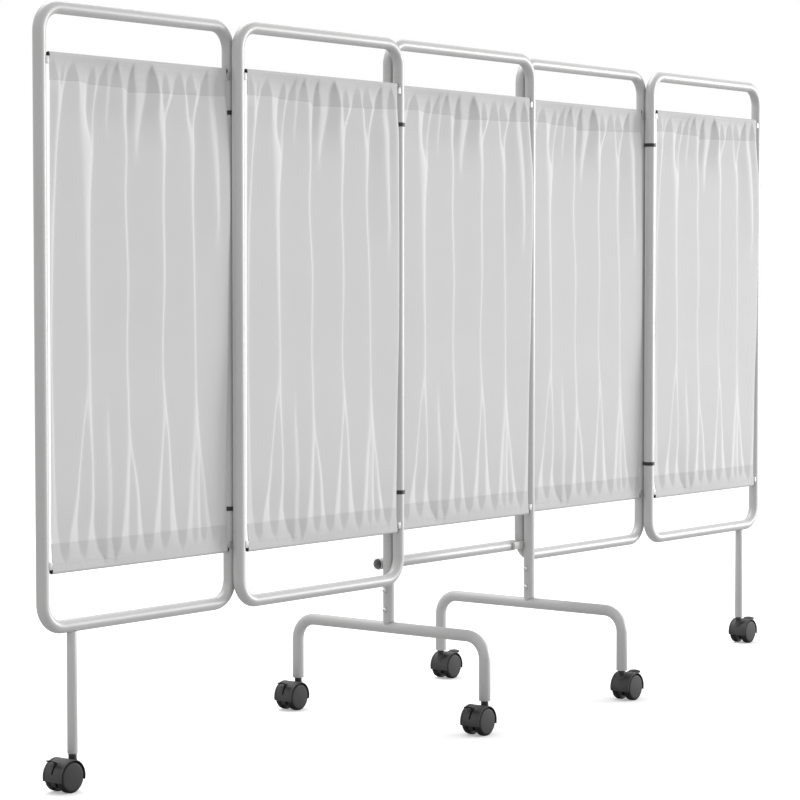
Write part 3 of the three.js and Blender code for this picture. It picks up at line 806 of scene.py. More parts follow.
    def cope(self, maker: MeshMaker, left: float, right: float) -> None:
        """Shapes the posts' tapered lower ends to the round of the feet.

        Args:
            maker: The frame, changed in place.
            left: The left post's axis.
            right: The right post's axis.
        """
        s = self.sizes
        for i, corner in enumerate(maker.corners):
            if corner.z > s.post_end + self.taper + 1:
                continue
            across = corner.x - (left if corner.x < 0 else right)
            crown = s.foot_axis + math.sqrt(max((s.tube + s.gap) ** 2 - across ** 2, 0.0))
            saddle = max(s.post_end, crown)
            share = (corner.z - s.post_end) / self.taper
            maker.corners[i] = Vector((corner.x, corner.y, saddle + share * (s.post_end + self.taper - saddle)))


@dataclass
class RodMaker:
    """Turns the rods that the curtains hang on."""

    sizes: Sizes
    end_gap: float = 1.0
    rim: Profile = ((1.0, 0.0), (0.3, 0.3), (0.0, 1.0))

    def build(self, stand: Stand, panel: Panel) -> list[str]:
        """Makes a panel's two rods.

        Args:
            stand: Where pieces go.
            panel: The panel.

        Returns:
            The rods' names.
        """
        s = self.sizes
        names = []
        inset = math.sqrt(s.tube ** 2 - (s.rod_forward - s.rod) ** 2) + self.end_gap
        length = panel.width - 2 * inset
        profile = [(0, 0), *((s.rod - less, along) for less, along in self.rim),
                   *((s.rod - less, length - along) for less, along in reversed(self.rim)), (0, length)]
        for level, z in (("top", s.top_rod), ("bottom", s.bottom_rod)):
            maker = MeshMaker()
            start = Matrix.Translation((panel.left + inset, panel.depth - s.rod_forward, z))
            maker.lathe(profile, start @ ALONG_X, 24)
            node = panel.node(f"{level}_rod")
            stand.piece(f"{node}_bar", maker.mesh(node), Slot.ROD, panel.body, [node])
            names.append(f"{node}_bar")
        return names


def soft_step(x: np.ndarray) -> np.ndarray:
    """A climb from 0 to 1 that passes a half at nothing."""
    return 1 / (1 + np.exp(-np.clip(x, -40, 40)))


def running_total(lean: np.ndarray, u: np.ndarray, run: float) -> np.ndarray:
    """Adds up a lean across a curtain.

    Args:
        lean: The lean at each place.
        u: The places across, as shares.
        run: The curtain's width.

    Returns:
        The total from the left edge up to each place.
    """
    return np.concatenate(([0.0], np.cumsum((lean[1:] + lean[:-1]) / 2 * np.diff(u) * run)))


@dataclass(frozen=True)
class FoldRow:
    """One height of a curtain.

    The side edges' places behind the rods' plane are in millimetres. The facets come forward to the right, and
    their edges across the width are shares: left, right, left, and so on. A band lies before each facet and after
    the last.
    """

    z: float
    left: float
    right: float
    slope: float
    edges: tuple[float, ...]


@dataclass(frozen=True)
class Pleat:
    """A short fold inside one strip of the cloth: a facet inside a band, or a band inside a facet.

    The strips are numbered from the left, bands even and facets odd. Each mark is a height with the fold's left
    and right edges across the width, as shares. Where the two meet, the fold is closed, and its mesh lines rest at
    a share of the strip.
    """

    strip: int
    rest: float
    marks: tuple[tuple[float, float, float], ...]
    full: float = 0.022

    def span(self, z: float) -> tuple[float, float, float]:
        """Reads the fold at a height.

        Args:
            z: The height.

        Returns:
            Its left and right edges, and how far it is open, from 0 to 1.
        """
        heights = [mark[0] for mark in self.marks]
        left, right = (float(np.interp(z, heights, [mark[k] for mark in self.marks])) for k in (1, 2))
        if not heights[0] < z < heights[-1]:
            return left, right, 0.0
        share = min(1.0, (right - left) / self.full)
        return left, right, share * share * (3 - 2 * share)


@dataclass
class FoldTable:
    """The folds that one curtain shows, read at any height.

    The bands' marks are a height, how late a band climbs, how softly it leaves its facet, and how far it climbs at
    once there. A facet lies beyond each side edge too, and bounds the first or the last band.
    """

    rows: tuple[FoldRow, ...] = (
        FoldRow(483, -3.6, -3.4, 0.14, (0.068, 0.072, 0.281, 0.345, 0.526, 0.531, 0.724, 0.729, 0.936, 0.941)),
        FoldRow(496, -1.4, -2.2, 0.21, (0.056, 0.086, 0.266, 0.358, 0.512, 0.546, 0.714, 0.744, 0.924, 0.954)),
        FoldRow(523, 1.0, -1.6, 0.22, (0.047, 0.092, 0.250, 0.369, 0.502, 0.554, 0.706, 0.754, 0.914, 0.964)),
        FoldRow(625, 1.0, -2.6, 0.15, (0.028, 0.125, 0.238, 0.391, 0.480, 0.578, 0.680, 0.768, 0.880, 0.978)),
        FoldRow(735, 0.7, -4.0, 0.13, (0.022, 0.153, 0.238, 0.412, 0.442, 0.600, 0.661, 0.785, 0.847, 0.985)),
        FoldRow(870, 0.3, -6.5, 0.125, (0.018, 0.186, 0.240, 0.420, 0.438, 0.612, 0.635, 0.798, 0.819, 0.985)),
        FoldRow(1095, -0.3, -11.8, 0.135, (0.026, 0.178, 0.241, 0.423, 0.440, 0.615, 0.641, 0.786, 0.805, 0.980)),
        FoldRow(1260, -1.0, -16.5, 0.145, (0.046, 0.178, 0.252, 0.415, 0.432, 0.610, 0.633, 0.769, 0.796, 0.980)),
        FoldRow(1360, -1.5, -14.3, 0.16, (0.058, 0.168, 0.269, 0.420, 0.441, 0.609, 0.645, 0.766, 0.810, 0.980)),
        FoldRow(1425, -2.2, -8.8, 0.20, (0.081, 0.166, 0.277, 0.413, 0.442, 0.597, 0.656, 0.757, 0.824, 0.980)),
        FoldRow(1480, -3.0, -4.4, 0.20, (0.095, 0.163, 0.286, 0.401, 0.441, 0.594, 0.690, 0.750, 0.860, 0.982)),
        FoldRow(1503, -3.6, -4.0, 0.19, (0.106, 0.154, 0.298, 0.393, 0.447, 0.585, 0.700, 0.742, 0.868, 0.976)),
        FoldRow(1516, -4.2, -4.2, 0.17, (0.117, 0.143, 0.308, 0.384, 0.453, 0.575, 0.709, 0.734, 0.877, 0.968)),
        FoldRow(1526, -4.6, -4.6, 0.12, (0.128, 0.132, 0.315, 0.373, 0.458, 0.565, 0.720, 0.724, 0.885, 0.958)),
    )
    pleats: tuple[Pleat, ...] = (
        Pleat(0, 0.2, ((1150, 0.001, 0.001), (1260, 0.001, 0.012), (1360, 0.001, 0.024), (1450, 0.001, 0.036),
                       (1480, 0.001, 0.045), (1503, 0.004, 0.036), (1534, 0.014, 0.018)), 0.012),
        Pleat(0, 0.8, ((1448, 0.072, 0.072), (1480, 0.062, 0.083), (1503, 0.068, 0.084), (1534, 0.078, 0.080))),
        Pleat(2, 0.5, ((484, 0.169, 0.173), (500, 0.158, 0.186), (523, 0.150, 0.197), (584, 0.148, 0.212),
                       (681, 0.156, 0.213), (800, 0.180, 0.194), (850, 0.190, 0.190), (1330, 0.255, 0.255),
                       (1385, 0.245, 0.262), (1437, 0.236, 0.270), (1480, 0.229, 0.269), (1503, 0.233, 0.262),
                       (1530, 0.243, 0.247))),
        Pleat(3, 0.5, ((480, 0.286, 0.340), (496, 0.296, 0.334), (523, 0.300, 0.324), (612, 0.304, 0.330),
                       (710, 0.303, 0.329), (850, 0.320, 0.320), (1340, 0.333, 0.333), (1420, 0.331, 0.345),
                       (1480, 0.330, 0.346), (1503, 0.328, 0.352), (1516, 0.322, 0.362), (1534, 0.318, 0.370))),
        Pleat(4, 0.5, ((485, 0.435, 0.439), (500, 0.424, 0.452), (524, 0.420, 0.465), (606, 0.425, 0.462),
                       (672, 0.430, 0.450), (740, 0.438, 0.438))),
        Pleat(5, 0.5, ((1300, 0.475, 0.475), (1385, 0.475, 0.505), (1414, 0.478, 0.520), (1450, 0.478, 0.530),
                       (1480, 0.475, 0.538), (1503, 0.470, 0.543), (1516, 0.465, 0.553), (1534, 0.460, 0.562))),
        Pleat(6, 0.5, ((485, 0.618, 0.622), (500, 0.608, 0.640), (523, 0.603, 0.653), (632, 0.609, 0.650),
                       (732, 0.622, 0.645), (800, 0.630, 0.630), (1405, 0.640, 0.640), (1430, 0.638, 0.648),
                       (1450, 0.632, 0.652), (1480, 0.618, 0.658), (1503, 0.624, 0.650), (1530, 0.635, 0.637))),
        Pleat(8, 0.35, ((485, 0.803, 0.807), (500, 0.797, 0.818), (522, 0.794, 0.828), (660, 0.806, 0.826),
                        (750, 0.815, 0.815), (1375, 0.790, 0.790), (1414, 0.790, 0.805), (1450, 0.780, 0.812),
                        (1480, 0.760, 0.816), (1503, 0.766, 0.808), (1530, 0.792, 0.796))),
        Pleat(8, 0.8, ((485, 0.856, 0.860), (500, 0.852, 0.872), (521, 0.848, 0.882), (659, 0.845, 0.860),
                       (730, 0.846, 0.846))),
        Pleat(9, 0.5, ((1090, 0.930, 0.930), (1265, 0.905, 0.935), (1366, 0.895, 0.937), (1433, 0.897, 0.940),
                       (1478, 0.905, 0.939), (1503, 0.900, 0.944), (1516, 0.895, 0.950), (1534, 0.889, 0.956))),
    )
    bands: tuple[tuple[float, float, float, float], ...] = (
        (523, 0.8, 0.003, 0.9), (600, 0.7, 0.004, 0.0), (735, 1.0, 0.006, 0.0), (870, 1.0, 0.006, 0.0),
        (1260, 1.0, 0.006, 0.0), (1360, 0.9, 0.006, 0.0), (1425, 0.9, 0.005, 0.0), (1490, 0.8, 0.003, 0.9))
    beyond: Profile = ((-0.12, 0.0), (1.02, 1.3))
    crease: float = 0.0016
    crest: float = 0.02
    short_climb: float = 0.55
    strip_margin: float = 0.003
    rest_half: float = 0.07
    plain_columns: int = 13
    short_columns: int = 6
    step: float = 4.0
    across: int = 900

    def station(self, z: float) -> np.ndarray:
        """Reads a height on a smooth curve through the rows.

        Args:
            z: The height.

        Returns:
            The left and right places, the slope and the edges.
        """
        heights = np.array([row.z for row in self.rows], dtype=float)
        values = np.array([(row.left, row.right, row.slope, *row.edges) for row in self.rows])
        z = float(np.clip(z, heights[0], heights[-1]))
        lean = np.gradient(values, heights, axis=0)
        i = int(np.clip(np.searchsorted(heights, z) - 1, 0, len(heights) - 2))
        gap = heights[i + 1] - heights[i]
        t = (z - heights[i]) / gap
        return ((2 * t ** 3 - 3 * t ** 2 + 1) * values[i] + (t ** 3 - 2 * t ** 2 + t) * gap * lean[i]
                + (3 * t ** 2 - 2 * t ** 3) * values[i + 1] + (t ** 3 - t ** 2) * gap * lean[i + 1])

    def profile(self, z: float, facets: Sequence[tuple[float, float]],
                u: np.ndarray) -> tuple[np.ndarray, np.ndarray]:
        """The facets and bands across one height.

        Args:
            z: The height.
            facets: Left and right edges, in order.
            u: Places across, as shares.

        Returns:
            1 on the facets, and a climb from 0 to 1 over each band between them.
        """
        fall, climb = np.zeros_like(u), np.zeros_like(u)
        heights = [mark[0] for mark in self.bands]
        rise, ridge, at_once = (float(np.interp(z, heights, [mark[k] for mark in self.bands])) for k in (1, 2, 3))
        ends = [self.beyond[0], *facets, self.beyond[1]]
        for left, right in facets:
            fall = np.maximum(fall, soft_step((u - left) / self.crease) * soft_step((right - u) / ridge))
        for (_, start), (stop, _) in zip(ends, ends[1:]):
            share = np.clip((u - start) / max(min(stop, 1.0) - start, 1e-4), 0, 1) ** rise
            share += at_once * np.exp(-np.clip((u - start) / self.crest, 0, 3) ** 4) * (1 - share)
            climb += np.where((u > start) & (u < stop + 0.01), share * soft_step((stop - u) / self.crease), 0)
        return fall, climb * (1 - fall)

    def offsets(self, z: float, u: np.ndarray, run: float) -> np.ndarray:
        """How far the cloth stands behind the rods' plane across one height.

        Args:
            z: The height.
            u: Evenly spaced places across, as shares.
            run: The curtain's width.

        Returns:
            Offsets in millimetres, positive towards the back.
        """
        left, right, slope, *edges = self.station(z)
        facets = list(zip(edges[::2], edges[1::2]))
        fall, climb = (running_total(lean, u, run) for lean in self.profile(z, facets, u))
        rate = (right - left + slope * fall[-1]) / climb[-1]
        main = left - slope * fall + rate * climb
        result = main.copy()
        bounds = [0.0, *edges, 1.0]
        for pleat in self.pleats:
            start, stop, is_open = pleat.span(z)
            if is_open <= 0:
                continue
            low, high = np.searchsorted(u, (bounds[pleat.strip] - self.strip_margin,
                                            bounds[pleat.strip + 1] + self.strip_margin))
            inside = slice(low, min(high, len(u) - 1) + 1)
            in_band = pleat.strip % 2 == 0
            changed = self.split(facets, start, stop, in_band)
            fell, climbed = (running_total(lean, u, run)[inside] for lean in self.profile(z, changed, u))
            fell, climbed = fell - fell[0], climbed - climbed[0]
            strip = main[inside] - main[inside][0]
            if in_band:
                shaped = (strip[-1] + slope * fell[-1]) / climbed[-1] * climbed - slope * fell
            else:
                up = rate * self.short_climb
                shaped = up * climbed - (up * climbed[-1] - strip[-1]) / fell[-1] * fell
            result[inside] += is_open * (shaped - strip)
        return result

    def split(self, facets: list[tuple[float, float]], left: float, right: float,
              is_facet: bool) -> list[tuple[float, float]]:
        """Adds a short facet between the others, or opens one of them with a short band.

        Args:
            facets: Left and right edges, in order.
            left: Where the short fold starts.
            right: Where it ends.
            is_facet: Whether it is a facet, not a band.

        Returns:
            The changed facets.
        """
        if is_facet:
            return sorted(facets + [(left, right)])
        changed: list[tuple[float, float]] = []
        for start, stop in facets:
            opened = start < left and right < stop
            changed += [(start, left), (right, stop)] if opened else [(start, stop)]
        return changed

    def stations(self, z: float) -> list[tuple[float, int]]:
        """The places across one height that the mesh's columns keep to.

        Args:
            z: The height.

        Returns:
            Each place, as a share, with the number of columns up to the next.
        """
        edges = [0.0, *self.station(z)[3:], 1.0]
        result: list[tuple[float, int]] = []
        for i, (start, stop) in enumerate(zip(edges, edges[1:])):
            inner: list[float] = []
            for pleat in self.pleats:
                if pleat.strip != i:
                    continue
                left, right, is_open = pleat.span(z)
                shares = [(place - start) / (stop - start) for place in (left, right)]
                rest = (pleat.rest - self.rest_half, pleat.rest + self.rest_half)
                inner += [start + (stop - start) * (share * is_open + calm * (1 - is_open))
                          for share, calm in zip(shares, rest)]
            count = self.short_columns if inner else self.plain_columns
            result += [(place, count) for place in (start, *inner)]
        return result + [(1.0, 0)]

    def field(self, run: float) -> "HangingField":
        """Reads the whole hanging cloth onto an even grid.

        Args:
            run: The curtain's width.

        Returns:
            The grid.
        """
        heights = np.arange(self.rows[0].z - self.step, self.rows[-1].z + 2 * self.step, self.step)
        u = np.linspace(0, 1, self.across)
        return HangingField(heights, u, np.stack([self.offsets(float(z), u, run) for z in heights]))


@dataclass
class HangingField:
    """The hanging cloth's offsets over heights and places across."""

    heights: np.ndarray
    across: np.ndarray
    values: np.ndarray
    inside_end: float = 1.001

    def at(self, u: np.ndarray, z: np.ndarray) -> np.ndarray:
        """Reads the offsets between the grid's lines.

        Args:
            u: Places across, as shares.
            z: Their heights.

        Returns:
            The offsets there, in millimetres.
        """
        step = self.heights[1] - self.heights[0]
        row = np.clip((z - self.heights[0]) / step, 0, len(self.heights) - self.inside_end)
        column = np.clip(u * (len(self.across) - 1), 0, len(self.across) - self.inside_end)
        i, j = row.astype(int), column.astype(int)
        down, side = row - i, column - j
        upper = self.values[i, j] * (1 - side) + self.values[i, j + 1] * side
        lower = self.values[i + 1, j] * (1 - side) + self.values[i + 1, j + 1] * side
        return upper * (1 - down) + lower * down


@dataclass
class ClothPath:
    """The rows of places that a curtain's cloth runs through, from the back hem over both rods and back."""

    places: list[tuple[np.ndarray, np.ndarray, np.ndarray]] = field(default_factory=list)
    layers: list[float] = field(default_factory=list)
    press: list[float] = field(default_factory=list)

    def add(self, x: np.ndarray, y: np.ndarray, z: np.ndarray, layers: float, press: float = 0.0) -> None:
        """Adds one row.

        Args:
            x: Places along the panel, in millimetres.
            y: Their depths.
            z: Their heights.
            layers: How far the cloth lies double there, from 0 to 1.
            press: How far the row is drawn in and given painted shade, from 0 to 1.
        """
        self.places.append((x, np.broadcast_to(y, x.shape), np.broadcast_to(z, x.shape)))
        self.layers.append(layers)
        self.press.append(press)

    def mesh(self) -> bpy.types.Mesh:
        """Joins the rows into a sheet that stores its weave's place, its layers and its pressed rows, with their
        painted shade, at its points.

        Returns:
            The mesh, in metres.
        """
        points = np.stack([np.stack(row, axis=-1) for row in self.places]) * MM
        count, n = points.shape[:2]
        lengths = np.linalg.norm(np.diff(points, axis=0), axis=2).mean(axis=1)
        down = np.concatenate(([0.0], np.cumsum(lengths)))[:, None] + np.zeros((1, n))
        widths = np.linalg.norm(np.diff(points, axis=1), axis=2)
        across = np.concatenate((np.zeros((count, 1)), np.cumsum(widths, axis=1)), axis=1)
        faces = [(r * n + c, r * n + c + 1, (r + 1) * n + c + 1, (r + 1) * n + c)
                 for r in range(count - 1) for c in range(n - 1)]
        mesh = bpy.data.meshes.new("curtain")
        mesh.from_pydata(points.reshape(-1, 3).tolist(), [], faces)
        weave = np.stack((across, down, 0 * across), axis=-1).reshape(-1).astype(np.float32)
        mesh.attributes.new("weave_place", "FLOAT_VECTOR", "POINT").data.foreach_set("vector", weave)
        for name, values in (("layers", self.layers), ("press", self.press)):
            spread = np.repeat(values, n).astype(np.float32)
            mesh.attributes.new(name, "FLOAT", "POINT").data.foreach_set("value", spread)
        mesh.polygons.foreach_set("use_smooth", [True] * len(mesh.polygons))
        return mesh


@dataclass
class CurtainMaker:
    """Hangs a curtain on its two rods: pockets, hems, gathers and long folds."""

    sizes: Sizes
    folds: FoldTable = field(default_factory=FoldTable)
    left_gap: float = 19.5
    right_gap: float = 21.0
    pocket: float = 5.3
    stitch_drop: float = 13.4
    hem_drop: float = 57.0
    flare: float = 2.7
    flare_depth: float = 50.0
    layer: float = 0.95
    thickness: float = 0.7
    seed: int = 7
    ripples: int = 9
    ripple_turns: tuple[float, float] = (14, 60)
    rod_ripple: float = 0.08
    rod_swell: float = 0.05
    neck_ripple: float = 0.2
    stitch_ripple: float = 0.3
    stitch_reach: float = 14.0
    neck_rows: int = 7
    pocket_rows: int = 15
    back_stand_off: float = 0.3
    hem_reach: float = 36.0
    hem_line: Profile = (
        (0.0, 4.0), (0.15, 6.5), (0.26, 3.0), (0.415, 0.5), (0.445, -8.0), (0.6, -5.5), (0.8, -3.5), (1.0, 0.0))
    back_rows: tuple[float, ...] = (0.0, 2.0, 16.0, 30.0)
    # Seam rows: rise from the seam, how far behind the front, layers, and painted shade along the seam line.
    seam_rows: tuple[tuple[float, float, float, float], ...] = (
        (1.6, -0.2, 1.0, 0.0), (0.6, 0.1, 1.0, 0.1), (-0.4, 0.1, 0.1, 0.05), (-1.6, 0.0, 0.0, 0.0))
    middle_top: float = 1280.0
    middle_low: float = 720.0
    made: dict[tuple[float, float], bpy.types.Mesh] = field(default_factory=dict)

    def columns(self, z: float) -> np.ndarray:
        """Places across one height, crowded along the folds' creases so that the mesh's edges follow them.

        Args:
            z: The height.

        Returns:
            The places, as shares.
        """
        stations = self.folds.stations(z)
        places: list[float] = []
        for (start, count), (stop, _) in zip(stations, stations[1:]):
            turn = np.arange(count) / count
            places += list(start + (stop - start) * (turn * 0.3 + (1 - np.cos(turn * math.pi)) * 0.35))
        return np.array(places + [1.0])

    def wrap(self, side: float) -> float:
        """How far past its side the pocket holds on to the rod, in radians. It hangs straight in front."""
        return math.asin(self.pocket / self.stitch_drop) if side > 0 else 0.0

    def ripple(self, u: np.ndarray) -> np.ndarray:
        """The fine gathers of the pocket across the width.

        Args:
            u: Places across, as shares.

        Returns:
            Their offsets, in millimetres.
        """
        rng = np.random.default_rng(self.seed)
        return sum(np.sin(u * turns * math.pi + phase) for turns, phase in
                   zip(rng.uniform(*self.ripple_turns, self.ripples), rng.uniform(0, math.tau, self.ripples))) / 5

    def mesh(self, width: float, room: float) -> bpy.types.Mesh:
        """Makes a curtain for one width, with its left upright's axis at the origin.

        Args:
            width: Between the uprights' axes.
            room: How far forward its right edge may stand.

        Returns:
            The mesh, in metres.
        """
        s = self.sizes
        run = width - self.left_gap - self.right_gap
        rows = tuple(replace(row, right=max(row.right, -room)) for row in self.folds.rows)
        cloth = replace(self.folds, rows=rows).field(run)
        path = ClothPath()
        stitch_top, stitch_low = s.top_rod - self.stitch_drop, s.bottom_rod + self.stitch_drop
        hem_top, hem_low = s.top_rod - self.hem_drop, s.bottom_rod + self.hem_drop

        def along(u: np.ndarray, z: float) -> np.ndarray:
            """Places along the panel, with the left edge drawn out to the cradles near the rods.

            Args:
                u: Places across, as shares.
                z: Their height.

            Returns:
                The places in millimetres from the left upright's axis.
            """
            near = max(0.0, 1 - min(abs(z - s.top_rod), abs(z - s.bottom_rod)) / self.flare_depth)
            return self.left_gap + u * run - self.flare * near * (1 - u)

        def face(z: float, behind: float, layers: float, press: float = 0.0) -> None:
            """Adds a row of the hanging cloth.

            Args:
                z: Its height.
                behind: How far it stands behind the front layer.
                layers: How far the cloth lies double there, from 0 to 1.
                press: How far the row is drawn in and given painted shade, from 0 to 1.
            """
            u = self.columns(z)
            near = max(0.0, 1 - abs(z - hem_top) / self.hem_reach)
            height = z + np.interp(u, *zip(*self.hem_line)) * near * near * (3 - 2 * near)
            pinch = math.exp(-min(abs(z - stitch_top), abs(z - stitch_low)) / self.stitch_reach)
            y = cloth.at(u, height) - s.rod_forward + behind + self.ripple(u) * self.stitch_ripple * pinch
            path.add(along(u, z), y, height, layers, press)

        def seam(hem: float, up: int) -> None:
            """Adds the rows where the double cloth of a hem ends.

            Args:
                hem: The seam's height.
                up: 1 where the double cloth lies above it, and -1 where it lies below.
            """
            for rise, behind, layers, press in self.seam_rows[::up]:
                face(hem + up * rise, behind, layers, press)

        def neck(rod: float, stitch: float, side: float, inward: bool) -> None:
            """Adds the rows between a rod and the stitching beside it.

            Args:
                rod: The rod's height.
                stitch: The stitching's height.
                side: +1 behind the rod, and -1 in front of it.
                inward: Whether the rows run from the rod to the stitching.
            """
            u = self.columns(stitch)
            hung = cloth.at(u, np.full_like(u, stitch)) + max(side, 0.0) * self.back_stand_off
            start = self.pocket * math.sin(self.wrap(side))
            bulge = side * self.pocket * math.cos(self.wrap(side))
            shares = np.linspace(0, 1, self.neck_rows)[:-1]
            for share in (shares if inward else shares[::-1]):
                z = rod + math.copysign(start + (self.stitch_drop - start) * share, stitch - rod)
                gathers = self.ripple(u) * (self.rod_ripple + self.neck_ripple * share)
                y = bulge * (1 - share) + hung * share + gathers - s.rod_forward
                path.add(along(u, z), y, np.full_like(u, z), 1.0)

        def pocket(rod: float, stitch: float, first: float) -> None:
            """Adds the rows round a rod, from one tangent point to the other.

            Args:
                rod: The rod's height.
                stitch: The stitching's height.
                first: +1 where the rows start behind the rod, and -1 where they start in front of it.
            """
            u = self.columns(stitch)
            up = math.copysign(1, rod - stitch)
            turns = np.linspace(-self.wrap(first), math.pi + self.wrap(-first), self.pocket_rows)
            for angle in turns[1:-1]:
                y = first * self.pocket * math.cos(angle) - s.rod_forward + self.ripple(u) * self.rod_ripple
                z = rod + up * self.pocket * math.sin(angle) + self.ripple(u) * self.rod_swell
                # The pocket's top, where the black rod shows through the cloth, is given painted shade.
                path.add(along(u, rod), y, z, 1.0, max(0.0, math.sin(angle)) ** 2)

        for z in (*(hem_top + rise for rise in self.back_rows), stitch_top):
            face(z, self.layer, 1.0)
        neck(s.top_rod, stitch_top, 1.0, False)
        pocket(s.top_rod, stitch_top, 1.0)
        neck(s.top_rod, stitch_top, -1.0, True)
        for z in (stitch_top + 1, stitch_top, stitch_top - 1, *np.linspace(stitch_top - 3, hem_top + 4, 14)):
            face(float(z), 0.0, 1.0)
        seam(hem_top, 1)
        for z in np.concatenate((np.linspace(hem_top - 6, self.middle_top + 20, 20),
                                 np.linspace(self.middle_top, self.middle_low, 24),
                                 np.linspace(self.middle_low - 15, hem_low + 8, 18))):
            face(float(z), 0.0, 0.0)
        seam(hem_low, -1)
        for z in (*np.linspace(hem_low - 4, stitch_low + 3, 14), stitch_low + 1, stitch_low, stitch_low - 1):
            face(float(z), 0.0, 1.0)
        neck(s.bottom_rod, stitch_low, -1.0, False)
        pocket(s.bottom_rod, stitch_low, -1.0)
        neck(s.bottom_rod, stitch_low, 1.0, True)
        for z in (stitch_low, *(hem_low - rise for rise in reversed(self.back_rows))):
            face(z, self.layer, 1.0)
        return path.mesh()

    def build(self, stand: Stand, panel: Panel, rods: Sequence[str]) -> None:
        """Hangs one panel's curtain.

        Args:
            stand: Where pieces go.
            panel: The panel.
            rods: The names of the rods it is gathered on; not used.
        """
        kind = (panel.width, panel.room)
        if kind not in self.made:
            self.made[kind] = self.mesh(*kind)
        mesh = self.made[kind].copy()
        mesh.transform(Matrix.Translation((panel.left * MM, panel.depth * MM, 0)))
        node = panel.node("curtain")
        made = stand.piece(f"{node}_cloth", mesh, Slot.CLOTH, panel.body, [node])
        solid = made.modifiers.new("cloth_thickness", "SOLIDIFY")
        solid.thickness = self.thickness * MM
        solid.offset = 0.0
        run = (panel.width - self.left_gap - self.right_gap) * MM
        run * 1.05


@dataclass
class FootMaker:
    """Bends the feet and the cross tube, and fits the post screws."""

    sizes: Sizes
    cross_axis: float = 381.0
    cross_overhang: float = 8.0
    cross_setback: float = 35.0
    tab_length: float = 43.0
    tab_height: float = 18.0
    tab_thickness: float = 7.0
    tab_setback: float = 10.0
    screw_heights: tuple[float, float] = (319.0, 272.0)
    foot_bore: float = 14.0
    cross_bore: float = 60.0
    mouth: float = 0.3
    spigot: float = 117.0
    spigot_hollow: float = 17.0
    shank: float = 2.5
    washer: float = 3.6
    head: Profile = ((0, 5.6), (1.5, 5.6), (1.6, 7.2), (3, 6.9), (4.4, 5.9), (5.3, 4.3), (5.5, 3), (4.9, 2.4))
    nut: Profile = ((4.5, 0), (4.5, 1.2), (3.4, 2.4), (1.8, 3), (0, 3))

    def tube(self, path: Path, bore: float) -> MeshMaker:
        """Draws a tube whose two ends are rounded and bored.

        Args:
            path: The tube's centreline.
            bore: How deep its bores go.

        Returns:
            A maker that holds the tube.
        """
        s = self.sizes
        inner = s.tube - s.wall
        finish = [*rounded_rim(s.tube), (0, inner + self.mouth), (-self.mouth, inner), (-bore, inner)]
        radii = [s.tube] * len(path)
        for at_start in (True, False):
            add_end(path, radii, finish, at_start)
        maker = MeshMaker()
        maker.sweep(path, radii, s.sides)
        return maker

    def foot(self, stand: Stand, side: str, x: float) -> None:
        """Makes one foot, with the spigot that goes up inside its post.

        Args:
            stand: Where pieces go.
            side: Which foot.
            x: Its place along the screen.
        """
        s = self.sizes
        reach = s.foot_span / 2
        corners = [Vector((x, y, z)) for y, z in
                   ((-reach, s.tube_end), (-reach, s.foot_axis), (reach, s.foot_axis), (reach, s.tube_end))]
        maker = self.tube(bent_path(corners, s.bend, X), self.foot_bore)
        spigot, hollow = s.tube - s.wall - s.gap, self.spigot - self.spigot_hollow
        maker.lathe([(0, 0), (spigot, 0), (spigot, self.spigot), (spigot - s.wall, self.spigot),
                     (spigot - s.wall, hollow), (0, hollow)], Matrix.Translation((x, 0, s.foot_axis)), 24)
        stand.piece(f"{side}_foot_tube", maker.mesh(f"{side}_foot"), Slot.TUBE, "base", [f"{side}_foot"])

    def cross(self, stand: Stand) -> None:
        """Makes the cross tube and the tab that carries it at the right post.

        Args:
            stand: Where pieces go.
        """
        s = self.sizes
        y = 2 * s.tube + s.gap
        left, right = -s.post - self.cross_overhang, s.post - self.cross_setback
        maker = self.tube([(Vector((x, y, self.cross_axis)), X, Y) for x in (left, right)], self.cross_bore)
        end = s.post - self.tab_setback
        front = s.tube - self.tab_thickness + s.wall - s.gap
        maker.box((end - self.tab_length, front, self.cross_axis - self.tab_height / 2),
                  (end, front + self.tab_thickness, self.cross_axis + self.tab_height / 2))
        stand.piece("cross_tube_bar", maker.mesh("cross_tube", 0.6), Slot.TUBE, "base", ["cross_tube"])

    def screw(self, stand: Stand, side: str, level: str, x: float, z: float) -> None:
        """Makes one post screw: a washer, a domed head with a socket, and a cap nut.

        Args:
            stand: Where pieces go.
            side: Which post.
            level: Which of its screws.
            x: The post's axis.
            z: The screw's height.
        """
        s = self.sizes
        face = s.tube + s.gap
        profile = [*((radius, -face - out) for radius, out in self.head), (self.washer, -face - 2.2),
                   (self.washer, -face), (self.shank, -face), (self.shank, face),
                   *((radius, face + out) for radius, out in self.nut)]
        maker = MeshMaker()
        maker.lathe(profile, Matrix.Translation((x, 0, z)) @ ALONG_X, 24)
        node = f"{side}_post_{level}_screw"
        stand.piece(f"{node}_metal", maker.mesh(node), Slot.STEEL, "base", [node])

    def build(self, stand: Stand) -> None:
        """Makes the feet, the cross tube and the screws.

        Args:
            stand: Where pieces go.
        """
        for side, x in (("left", -self.sizes.post), ("right", self.sizes.post)):
            self.foot(stand, side, x)
            for level, z in zip(("upper", "lower"), self.screw_heights):
                self.screw(stand, side, level, x, z)
        self.cross(stand)


